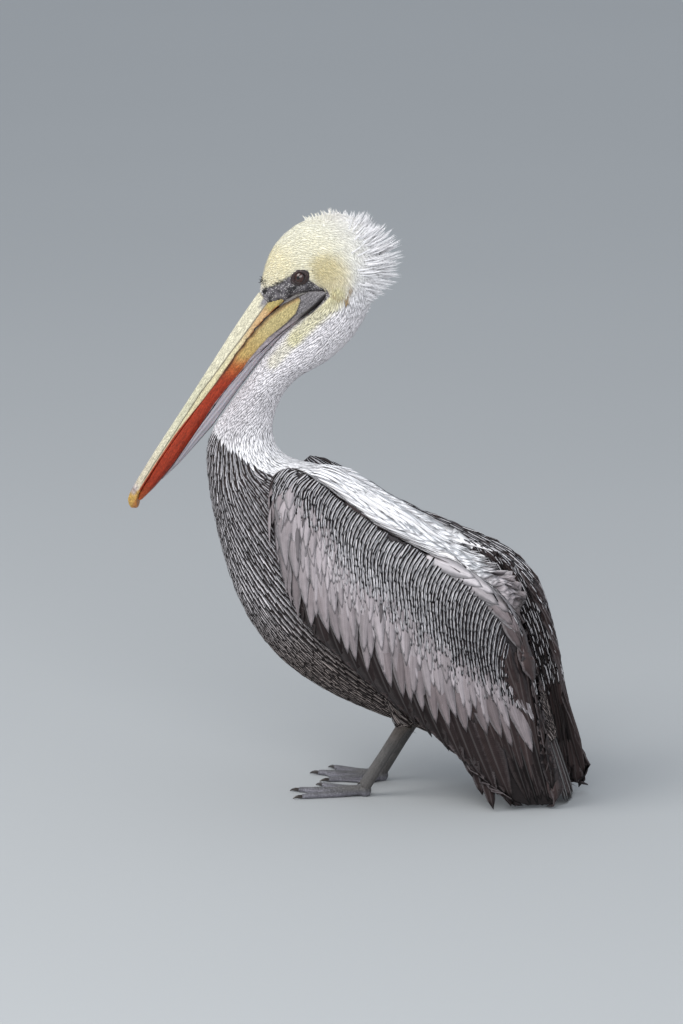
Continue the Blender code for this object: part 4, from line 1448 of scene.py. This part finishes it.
def make_crest():
    """Thin white spikes in pointed locks that fan out from the crown and down the back of the head."""
    plain = feather_material("crest", (0.5, 1.0), barbs=10, roughness=0.8, uneven=0.04)
    hub = np.array((0.0, EYE[1] + 34 * MM, EYE[2] + 8 * MM))
    locks, per_lock = 330, 5
    count = locks * per_lock
    lock_turn = np.linspace(-44, 116, locks) + RNG.uniform(-1.5, 1.5, locks)
    lock_side = RNG.normal(0, 0.3, locks).clip(-0.7, 0.7)
    turn = np.radians(np.repeat(lock_turn, per_lock) + RNG.normal(0, 1.3, count))
    sideways = np.repeat(lock_side, per_lock) + RNG.normal(0, 0.03, count)
    out = unit(np.column_stack([sideways, np.cos(turn), np.sin(turn)]))
    lock_angle = np.radians(lock_turn)
    lock_out = unit(np.column_stack([0.45 * lock_side, np.cos(lock_angle), np.sin(lock_angle)]))
    roots = np.array([BODY_GUIDE.tree.ray_cast(hub.tolist(), d)[0] for d in out.tolist()])
    inner = np.linalg.norm(roots - hub, axis=1)
    rim = np.interp(lock_turn, *zip(*CREST_OUTLINE)) * MM
    lock_reach = rim * (1.03 - 0.3 * np.abs(lock_side)) * RNG.uniform(0.9, 1.02, locks)
    lock_reach = np.maximum(lock_reach, inner.reshape(locks, per_lock).mean(1) + 3 * MM)
    lock_tips = hub + lock_out * lock_reach[:, None]
    tips = np.repeat(lock_tips, per_lock, axis=0) + RNG.normal(0, 0.4 * MM, (count, 3))
    shortfall = 1 - np.tile(np.linspace(0, 0.45, per_lock), locks) * RNG.random(count)
    tips = roots + (tips - roots) * shortfall[:, None]
    share = np.linspace(0, 1, 6)
    bow = np.sin(share * math.pi)[None, :, None] * (flow(roots) * 2.0 * MM)[:, None]
    start = roots - out * 3 * MM
    spines = start[:, None] + (tips - start)[:, None] * share[None, :, None] + bow
    ups = unit(np.cross(unit(np.gradient(spines, axis=1)), unit(RNG.normal(0, 1, (count, 1, 3)))))
    coat = blend(head_colours(roots), WHITE, smooth_step(np.degrees(turn), 100, 50))
    vanes("plumage_crest", spines, ups, varied(count, 0.62 * MM, 0.25), coat, WHITE, plain,
          "white_feathers", ("crest",), broad=0.3, point=0.9, camber=0.3, thick=0.2 * MM)


# ---------------------------------------------------------------- bill

BILL_ROOT = EYE[1:] + np.array((-68.4, -28.5)) * MM  # where the culmen leaves the feathers
BILL_SLOPE = math.atan2(310, 197)  # how steeply the bill points down
BILL_ALONG = np.array((-math.cos(BILL_SLOPE), -math.sin(BILL_SLOPE)))
BILL_DEEPER = np.array((math.sin(BILL_SLOPE), -math.cos(BILL_SLOPE)))


def in_bill(places):
    """Places in the bill's axes, in mm: along it from its root, down from the culmen, and across."""
    flat = (places[..., 1:] - BILL_ROOT) / MM
    return flat @ BILL_ALONG, flat @ BILL_DEEPER, places[..., 0] / MM


def traced(s, *pairs):
    """A line along the bill, from pairs of places along it and depths."""
    return np.interp(s, [p[0] for p in pairs], [p[1] for p in pairs])


def spread_of(s, d, bins=70):
    """Share of the way from the upper to the lower outline at each s."""
    edges = np.linspace(s.min(), s.max(), bins + 1)
    index = np.clip(np.digitize(s, edges) - 1, 0, bins - 1)
    top = np.full(bins, 1e9)
    bottom = np.full(bins, -1e9)
    np.minimum.at(top, index, d)
    np.maximum.at(bottom, index, d)
    middles = (edges[1:] + edges[:-1]) / 2
    high, low = np.interp(s, middles, top), np.interp(s, middles, bottom)
    return (d - high) / np.maximum(low - high, 0.5)


def shell(name, node_names, voxel, rounds):
    """A smooth close mesh of CAD nodes, and its points and normals."""
    mesh = merged(name, node_names, voxel, rounds, 0.0)
    points = points_of(mesh)
    return mesh, points, vertex_normals(points, triangles_of(mesh))


def bill_material(name, roughness=0.42):
    """Horn: painted colours, fine lengthwise grain, small chips and stains."""
    s = Shader(name, roughness, Specular_IOR_Level=0.3)
    along = s.attribute("Grain", "Vector")
    grain = s.noise(1.0, 4.0, s.scaled(along, (0.12, 2.2, 1.2)))
    mottles = s.noise(1.0, 4.0, s.scaled(along, (0.35, 0.5, 0.5)), 0.65)
    flakes = s.ramp(s.cells(1.0, vector=s.scaled(along, (0.45, 1.0, 0.8))), 0.1, 0.45)
    colour = s.shade(s.attribute("Paint"), grain, 0.56, 1.34)
    colour = s.shade(colour, mottles, 0.58, 1.32)
    speck = s.times(s.attribute("Speck", "Fac"), s.ramp(flakes, 0.2, 0.7, 1.0, 0.0))
    s.colour(s.mix(colour, s.attribute("SpeckPaint"), speck))
    s.bump(s.plus(grain, s.times(flakes, 0.5)), 0.5 * MM, 0.5)
    return s.material


def paint_bill(mesh, points, paint, speck, speck_paint):
    """Stores the paint, the share and colour of the specks, and the place in the bill's axes."""
    set_colour(mesh, "Paint", paint)
    set_colour(mesh, "SpeckPaint", speck_paint)
    set_values(mesh, "Speck", speck)
    set_vectors(mesh, "Grain", np.column_stack(in_bill(points)))


def stripe(value, centre, half):
    """1 on a line at centre, falling to 0 at half a width away."""
    return np.clip(1 - np.abs(value - centre) / half, 0, 1)


RIDGE_CREAM = srgb(208, 202, 178)
MID_CREAM = srgb(198, 194, 168)
TIP_CREAM = srgb(196, 186, 164)
STRIP_CREAM = srgb(202, 192, 156)
STRIP_PINK = srgb(194, 160, 116)
STRIP_GREEN = srgb(160, 143, 86)
GAPE_BROWN = srgb(58, 30, 20)
ORANGE = srgb(176, 94, 48)
ORANGE_RED = srgb(150, 50, 26)
DEEP_RED = srgb(136, 40, 22)
MANDIBLE_OCHRE = srgb(188, 172, 122)
NAIL_OCHRE = srgb(190, 152, 82)
LAVENDER = srgb(164, 154, 158)
WEDGE_GREY = srgb(132, 128, 132)
GAPE_ORANGE = srgb(170, 96, 50)
GROOVE_BROWN = srgb(74, 64, 50)
NAIL_BROWN = srgb(178, 116, 60)
SEAM_BROWN = srgb(96, 72, 56)


def groove_depth(s):
    """The thin groove along the upper bill's side, mm below the culmen."""
    return traced(s, (-16, 22), (5, 20), (46, 18), (73, 16), (98, 13.5), (120, 12), (145, 10.4), (172, 8),
                  (330, 6.6))


def red_depth(s):
    """Where the orange-red begins below the upper bill's cream."""
    return traced(s, (100, 24), (130, 22.5), (152, 19.5), (174, 17.5), (199, 14.8), (222, 12), (246, 9.8),
                  (300, 8.6), (356, 8.4))


def make_upper_bill(material):
    """Cream culmen, a paler strip below the groove, an orange-red edge, a brown gape and the nail."""
    mesh, points, normals = shell("bill_upper_horn", ("bill_upper", "bill_nail"), HORN_VOXEL, 6)
    s, d, x = in_bill(points)
    q = spread_of(s, d)
    below = d - groove_depth(s)
    groove = stripe(below, 0, 1.7) * smooth_step(np.abs(x), 4, 7) * (1 - smooth_step(s, 325, 345))
    seam = stripe(s, 352 + 0.2 * np.abs(x), 2.0)
    points = points - normals * (0.5 * groove + 0.25 * seam)[:, None] * MM
    reshape(mesh, points)
    strip = coated(STRIP_GREEN, (STRIP_PINK, smooth_step(s, 2, 16)), (STRIP_CREAM, smooth_step(s, 36, 90)))
    wedge = (1 - smooth_step(s, 4, 22)) * smooth_step(d, 9, 14) * (1 - smooth_step(below, -2, 0.5))
    red = smooth_step(s, 96, 120) * smooth_step(d - red_depth(s), -1.0, 1.2)
    gape = smooth_step(q, 0.9, 0.97) * (1 - smooth_step(s, 110, 170))
    patch = smooth_step(s, 338, 352) * (1 - smooth_step(s, 356, 364)) * (1 - smooth_step(d, 4, 9))
    paint = coated(
        RIDGE_CREAM,
        (MID_CREAM, smooth_step(s, 110, 180) * (1 - 0.6 * smooth_step(s, 210, 270))),
        (TIP_CREAM, smooth_step(s, 240, 340)),
        (strip, smooth_step(below, -0.5, 2.0)),
        (WEDGE_GREY, wedge),
        (blend(ORANGE, ORANGE_RED, smooth_step(s, 110, 160)), red),
        (blend(GAPE_ORANGE, GAPE_BROWN, smooth_step(q, 0.93, 0.99)), gape),
        (GROOVE_BROWN, 0.95 * groove),
        (blend(NAIL_OCHRE, NAIL_BROWN, smooth_step(d, 8, 15)), smooth_step(s + 0.5 * d, 350, 356)),
        (LAVENDER, 0.8 * patch),
        (SEAM_BROWN, 0.4 * seam),
    )
    speck = 0.3 * smooth_step(below, 0, 3) * (1 - smooth_step(s, 60, 130)) + 0.12
    paint_bill(mesh, points, paint, speck, blend(paint, srgb(150, 110, 70), 0.6))
    add_piece("bill_upper_horn", mesh, material, ("bill_upper", "bill_nail"))


def mandible_low(s):
    """The lower border of the mandible's horn, mm below the culmen's line."""
    return traced(s, (-32, 60), (-22, 62), (-11, 64), (8, 60), (21, 56), (43, 49), (67, 45), (90, 42),
                  (107, 41.7), (130, 38.4), (172, 34), (230, 33), (294, 30), (337, 24), (357, 21))


def make_lower_bill(material):
    """The mandible: ochre horn that turns red towards the tip, a dark rim and naked skin behind it."""
    mesh, points, normals = shell("bill_lower_horn", ("bill_lower",), HORN_VOXEL, 6)
    s, d, _ = in_bill(points)
    q = spread_of(s, d)
    behind = s - (-34 + 0.1 * (d - 55) ** 2)
    inside = mandible_low(s) - d
    horn = smooth_step(behind, -0.8, 0.8) * smooth_step(inside, -0.8, 0.8)
    rim = smooth_step(behind, -4.0, -1.0) * smooth_step(inside, -4.0, -1.0) * (1 - horn)
    skin_low = traced(s, (-68, 88), (-53, 83), (-38, 80), (-25, 77), (-13, 73), (3, 70), (13, 66), (40, 60))
    fold = smooth_step(d - skin_low, -2.0, 1.0) * (1 - smooth_step(s, 0, 24))
    wrinkles = np.sin(d * 1.2 + s * 0.5) * (1 - horn) * 0.3
    points = points + normals * (wrinkles - 0.5 * rim * smooth_step(s, -60, -20))[:, None] * MM
    reshape(mesh, points)
    rear = 1 - smooth_step(s, -20, 10)
    gape = (1 - smooth_step(q, 0.02, 0.3)) * (1 - smooth_step(s, 110, 170))
    red_from = s + 0.9 * (d - 30) * smooth_step(d, 22, 45)
    horn_paint = coated(
        MANDIBLE_OCHRE,
        (srgb(188, 158, 98), smooth_step(s, 20, 90)),
        (ORANGE, smooth_step(red_from, 84, 112)),
        (ORANGE_RED, smooth_step(red_from, 104, 140)),
        (DEEP_RED, 0.7 * smooth_step(q, 0.5, 0.95) * smooth_step(s, 120, 180)),
        (srgb(186, 96, 50), 0.6 * smooth_step(s, 325, 360)),
        (blend(GAPE_BROWN, srgb(150, 84, 44), smooth_step(q, 0.1, 0.22)), gape),
    )
    paint = coated(
        LAVENDER,
        (srgb(112, 108, 110), rear),
        (srgb(36, 31, 34), fold),
        (srgb(44, 38, 36), 0.8 * rim * (1 - smooth_step(s, 10, 60))),
        (horn_paint, horn),
        (srgb(34, 27, 26), (1 - smooth_step(q, 0.03, 0.12)) * (1 - horn)),
    )
    speck = np.where(horn > 0.5, 0.55 * (1 - smooth_step(s, 90, 130)) + 0.1, 0.9 * (1 - fold) * rear)
    speck_paint = coated(srgb(134, 118, 64), (srgb(176, 172, 174), 1 - horn),
                         (srgb(206, 104, 56), horn * smooth_step(s, 110, 150)))
    paint_bill(mesh, points, paint, speck, speck_paint)
    add_piece("bill_lower_horn", mesh, material, ("bill_lower",))


def make_pouch():
    """The folded pouch: thin lavender skin in lengthwise pleats, with painted shade in their hollows and
    along its lower border.
    """
    mesh, points, normals = shell("pouch_skin", ("pouch",), HORN_VOXEL, 6)
    s, d, x = in_bill(points)
    q = spread_of(s, d)
    pleats = np.sin(q * 17 + 0.02 * s + 1.5 * np.sin(s * 0.035)) * smooth_step(np.abs(x), 2, 6)
    points = points + normals * (0.4 * pleats)[:, None] * MM
    reshape(mesh, points)
    edge = smooth_step(mandible_low(s) - d, -1.0, 1.0) * smooth_step(s, -10, 60)
    paint = coated(
        np.broadcast_to(srgb(176, 170, 176), points.shape),
        # painted shade in the hollows of the pleats
        (srgb(140, 132, 138), 0.45 * (1 - smooth_step(pleats, -1, 0.2))),
        (srgb(150, 140, 142), 1 - smooth_step(s, 0, 60)),
        # painted shadow along the lower border, where the pouch meets the neck
        (srgb(110, 100, 104), 0.5 * smooth_step(q, 0.86, 1.0)),
        (blend(srgb(150, 120, 80), DEEP_RED, smooth_step(s, 90, 130)), edge),
    )
    shader = Shader("pouch", 0.45, Subsurface_Weight=0.1, Subsurface_Scale=0.004)
    along = shader.attribute("Grain", "Vector")
    veins = shader.noise(1.0, 5.0, shader.scaled(along, (0.06, 0.6, 0.6)), 0.6)
    shader.colour(shader.shade(shader.attribute("Paint"), veins, 0.84, 1.1))
    shader.bump(veins, 0.8 * MM, 0.5)
    paint_bill(mesh, points, paint, np.zeros(len(points)), paint)
    add_piece("pouch_skin", mesh, shader.material, ("pouch",))


# ---------------------------------------------------------------- eyes

CORNEA = 0.07  # how far the eye's front bulges, as a share of its radius
LID_TILT = math.radians(33)  # the lids' almond points up to the rear
LID_RINGS = (  # half length and half height, thickness, height over the skin, all in mm, and colour
    (9.2, 7.8, 1.0, 0.0, srgb(40, 29, 28)),
    (11.8, 9.0, 1.4, 0.0, srgb(60, 45, 44)),
    (15.0, 10.2, 1.5, -0.6, srgb(52, 42, 42)),
)


def make_eye(side):
    """A wet dark eye with a red-brown iris, deep in a ring of wrinkled lids."""
    sign = SIDES[side]
    node = f"eye_{side}"
    low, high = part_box(node)
    centre = (np.array(low) + np.array(high)) / 2
    radius = (high.x - low.x) / 2
    aim = unit(np.array((1.0, -0.16, 0.02)))
    across = unit(np.cross((0, 0, 1.0), aim))
    rings, columns = 39, 48
    theta = np.repeat(np.linspace(0, math.pi, rings + 2)[1:-1], columns)
    turn = np.tile(np.arange(columns) * 2 * math.pi / columns, rings)
    bulge = 1 + CORNEA * np.exp(-((theta / 0.42) ** 2))
    radial = np.sin(theta)
    ball = np.column_stack([np.cos(theta) * bulge, radial * np.cos(turn), radial * np.sin(turn)])
    ball = np.vstack([(1 + CORNEA, 0, 0), ball, (-1, 0, 0)])
    placed = ball @ np.array((aim, across, np.cross(aim, across))) * radius * 0.985
    placed[:, 0] *= sign
    faces = spindle_faces(rings, columns)
    faces = turned_over(faces) if sign > 0 else faces
    mesh = mesh_from(f"eye_{side}_ball", placed + centre, *corners_of(faces))
    angle = np.degrees(np.concatenate([[0], theta, [math.pi]]))
    iris = blend(srgb(52, 30, 25), srgb(92, 58, 48), smooth_step(np.sin(np.radians(angle * 9)), -1, 1))
    set_colour(mesh, "Paint", coated(PUPIL_BLACK, (iris, smooth_step(angle, 17, 19)),
                                     (srgb(24, 16, 15), smooth_step(angle, 38, 46))))
    s = Shader(f"eye_{side}", 0.14, Coat_Weight=0.2, Coat_Roughness=0.1)
    s.colour(s.shade(s.attribute("Paint"), s.noise(900.0, 2.0), 0.85, 1.15))
    add_piece(f"eye_{side}_ball", mesh, s.material, (node,))

    for n, (long, high, thick, lift, tone) in enumerate(LID_RINGS):
        path = lid_path(centre, radius, sign, long * MM, high * MM, lift * MM, n)
        points, faces, along = closed_tube(path, thick * MM, n)
        faces = faces if sign > 0 else turned_over(faces)
        mesh = mesh_from(f"lid_{side}_{n}", points, *corners_of(faces))
        set_colour(mesh, "Paint", tone * (0.85 + 0.3 * np.sin(along * 31)[:, None] ** 2))
        s = Shader(f"lid_{side}_{n}", 0.5)
        s.colour(s.shade(s.attribute("Paint"), s.noise(700.0), 0.7, 1.25))
        s.bump(s.noise(900.0, 4.0), 0.6 * MM, 0.6)
        add_piece(f"lid_{side}_{n}", mesh, s.material)


def lid_path(centre, radius, sign, long, high, lift, seed, turns=72):
    """A ring on the eye and the skin round it, an almond with its corners fore and aft."""
    a = np.linspace(0, 2 * math.pi, turns, endpoint=False)
    p = long * np.cos(a)
    q = high * np.sin(a) * np.abs(np.sin(a)) ** 0.3
    back = p * math.cos(LID_TILT) - q * math.sin(LID_TILT)
    up = p * math.sin(LID_TILT) + q * math.cos(LID_TILT)
    away = np.hypot(back, up)
    ball = np.where(away < radius, np.sqrt(np.maximum(radius**2 - away**2, 0)), -1.0) + sign * centre[0]
    origins = np.column_stack([np.full(turns, sign * OUTSIDE), centre[1] + back, centre[2] + up])
    gone, _ = SKIN_SURFACE.ray(origins, np.tile((-sign, 0.0, 0.0), (turns, 1)))
    x = np.maximum(ball, OUTSIDE - gone) + lift + 0.15 * MM * np.sin(9 * a + seed)
    for _ in range(3):
        x = (np.roll(x, 1) + 2 * x + np.roll(x, -1)) / 4
    return np.column_stack([sign * x, origins[:, 1:]])


def closed_tube(path, thick, seed, sides=10):
    """A soft, slightly uneven fold round a closed path that faces along x: points, faces and turn."""
    count = len(path)
    ahead = unit(np.roll(path, -1, axis=0) - np.roll(path, 1, axis=0))
    outward = unit(np.cross(ahead, (1.0, 0.0, 0.0)))
    raised = np.cross(outward, ahead)
    a = np.linspace(0, 2 * math.pi, count, endpoint=False)
    width = thick * (1 + 0.12 * np.sin(a * 13 + 2 * seed))
    b = np.linspace(0, 2 * math.pi, sides, endpoint=False)
    rings = path[:, None] + width[:, None, None] * (
        np.cos(b)[None, :, None] * outward[:, None] + 0.8 * np.sin(b)[None, :, None] * raised[:, None])
    faces = []
    for k in range(count):
        here, after = k * sides, (k + 1) % count * sides
        for j in range(sides):
            m = (j + 1) % sides
            faces.append((here + j, after + j, after + m, here + m))
    return rings.reshape(-1, 3), faces, np.repeat(a, sides)


def make_bristles():
    """Small black bristles where the culmen meets the feathers and along the naked skin's edge."""
    dark = feather_material("bristles", (0.9, 1.0), barbs=4, roughness=0.6, uneven=0.05)
    y, z = np.array(BARE_FACE)[:4].T
    count = 260
    t = RNG.random(count) * 3
    along = np.interp(t, range(4), y) + RNG.normal(0, 2.0, count)
    height = np.interp(t, range(4), z) + RNG.normal(0, 2.0, count)
    sign = np.where(RNG.random(count) < 0.5, 1, -1)
    guess = np.column_stack([sign * 34 * MM, EYE[1] + along * MM, EYE[2] + height * MM])
    top = RNG.random(count) < 0.25
    guess[top, 0] *= RNG.random(top.sum())
    guess[top, 1] = EYE[1] - 64 * MM
    guess[top, 2] = EYE[2] + RNG.uniform(-16, -6, top.sum()) * MM
    roots, normals = BODY_GUIDE.nearest(guess)
    sizes = varied(count, 5.5 * MM, 0.35)
    out = unit(normals * 0.8 + RNG.normal(0, 0.35, (count, 3)) + np.array((0, 0.2, 0.1)))
    share = np.linspace(0, 1, 4)[None, :, None]
    spines = (roots - normals * 1.5 * MM)[:, None] + out[:, None] * sizes[:, None, None] * share
    ups = np.repeat(unit(np.cross(out, np.cross(normals + 0.01, out)))[:, None], 4, axis=1)
    vanes("bristles", spines, ups, varied(count, 0.45 * MM, 0.2), BRISTLE_BLACK, BRISTLE_BLACK, dark,
          "dark_feathers", broad=0.3, point=0.9, camber=0.5, thick=0.2 * MM)


# ---------------------------------------------------------------- legs and feet

def scale_material(name):
    """Bare leg and foot: grey scaly skin, with painted shade in the creases between the scales."""
    s = Shader(name, 0.55, Specular_IOR_Level=0.35)
    scales = s.cells(330.0, "DISTANCE_TO_EDGE")
    crease_shade = s.ramp(scales, 0.0, 0.09, 1.0, 0.0)
    colour = s.shade(s.attribute("Paint"), s.noise(60.0, 4.0), 0.78, 1.16)
    colour = s.shade(colour, s.noise(420.0), 0.86, 1.1)
    # painted shade in the recessed creases between the scales
    s.colour(s.mix(colour, srgb(44, 42, 44), s.times(crease_shade, 0.55)))
    s.bump(s.plus(s.ramp(scales, 0.0, 0.12), s.times(s.noise(700.0), 0.25)), 0.7 * MM, 0.7)
    return s.material


def make_leg(side, material):
    """The bare lower leg and the webbed foot as one skin, flat on the floor."""
    nodes = (f"leg_{side}_tarsus", f"foot_{side}")
    mesh, points, normals = shell(f"leg_{side}_skin", nodes, LEG_VOXEL, 4)
    z = points[:, 2] / MM
    # Painted shade: the leg above the toes and the knee are darkened as in the body's shade
    paint = coated(
        WEB_GREY,
        (TOE_GREY, smooth_step(z - z.min(), 4.5, 9)),
        (SHADED_LEG_GREY, smooth_step(z, 7, 14)),
        (SHADED_KNEE_BROWN, smooth_step(z, 70, 110)),
    )
    ridges = np.sin(points[:, 1] / MM * 1.7) * smooth_step(z, 5, 8) * (1 - smooth_step(z, 14, 22))
    points = points + normals * (0.22 * ridges * (normals[:, 2] > 0.1))[:, None] * MM
    points[:, 2] = np.maximum(points[:, 2], 0.0)
    reshape(mesh, points)
    set_colour(mesh, "Paint", paint)
    add_piece(f"leg_{side}_skin", mesh, material, nodes)


def finish_claws():
    """Dark glossy horn on the CAD claws."""
    s = Shader("claw_horn", 0.3, Coat_Weight=0.3, Coat_Roughness=0.2)
    streak = s.noise(1.0, 3.0, s.scaled(s.place(), (900.0, 200.0, 900.0)))
    s.colour(s.mix(srgb(20, 18, 18), srgb(66, 58, 54), streak))
    s.bump(streak, 0.3 * MM, 0.4)
    for name, node in NODES.items():
        if name.startswith("claw"):
            node.data.materials.clear()
            node.data.materials.append(s.material)


# ---------------------------------------------------------------- stage

FLOOR_HALF = 40.0  # metres
LAMPS = (  # place, size, power, tint
    ((2.2, -2.6, 4.2), 3.0, 165, (1.0, 0.985, 0.96)),
    ((4.6, 1.4, 2.6), 3.2, 150, (0.97, 0.985, 1.0)),
)
LAMP_TARGET = Vector((0, 0, 0.45))
VIEW_TURN, VIEW_TILT = math.radians(105.5), math.radians(12)
VIEW_DISTANCE, PICTURE_HEIGHT = 9.0, 1.484  # metres
VIEW_TARGET = Vector((-0.060, -0.034, 0.393))


def face_along(item, place, direction):
    """Puts a lamp or a camera at a place, looking in a direction."""
    item.location = place
    item.rotation_mode = "QUATERNION"
    item.rotation_quaternion = direction.to_track_quat("-Z", "Y")


def make_floor():
    """A plain pale floor."""
    mesh = bpy.data.meshes.new("floor")
    corners = [(x * FLOOR_HALF, y * FLOOR_HALF, 0) for x, y in ((-1, -1), (1, -1), (1, 1), (-1, 1))]
    mesh.from_pydata(corners, [], [(0, 1, 2, 3)])
    s = Shader("floor", 0.9)
    s.colour(s.shade((0.36, 0.37, 0.375), s.noise(0.6, 2.0), 0.99, 1.01))
    mesh.materials.append(s.material)
    ground = new_object("floor", mesh)


def make_light():
    """Soft light as under an overcast sky."""
    world = bpy.data.worlds.new("overcast")
    bpy.context.scene.world = world
    world.use_nodes = True
    background = world.node_tree.nodes["Background"]
    background.inputs[0].default_value = (0.86, 0.92, 1.0, 1)
    background.inputs[1].default_value = 0.8
    for place, size, power, tint in LAMPS:
        lamp = bpy.data.lights.new("soft", "AREA")
        lamp.size = size
        lamp.energy = power
        lamp.color = tint
        face_along(new_object("soft", lamp), place, LAMP_TARGET - Vector(place))


def make_camera():
    """The photograph's view: from the bird's left, a little from behind and above."""
    back = Vector((math.sin(VIEW_TURN) * math.cos(VIEW_TILT), -math.cos(VIEW_TURN) * math.cos(VIEW_TILT),
                   math.sin(VIEW_TILT)))
    lens = bpy.data.cameras.new("view")
    lens.lens = lens.sensor_width * VIEW_DISTANCE / PICTURE_HEIGHT
    lens.clip_end = 200
    camera = new_object("view", lens)
    face_along(camera, VIEW_TARGET + back * VIEW_DISTANCE, -back)
    bpy.context.scene.camera = camera
    bpy.context.scene.view_settings.view_transform = "Standard"


make_head_plumage()
make_underparts()
for wing_side in SIDES:
    make_wing(wing_side)
make_mantle()
make_tail()
make_crest()
make_bristles()
horn = bill_material("bill_horn")
make_upper_bill(horn)
make_lower_bill(horn)
make_pouch()
for eye_side in SIDES:
    make_eye(eye_side)
scales = scale_material("leg_scales")
for leg_side in SIDES:
    make_leg(leg_side, scales)
finish_claws()
make_floor()
make_light()
make_camera()
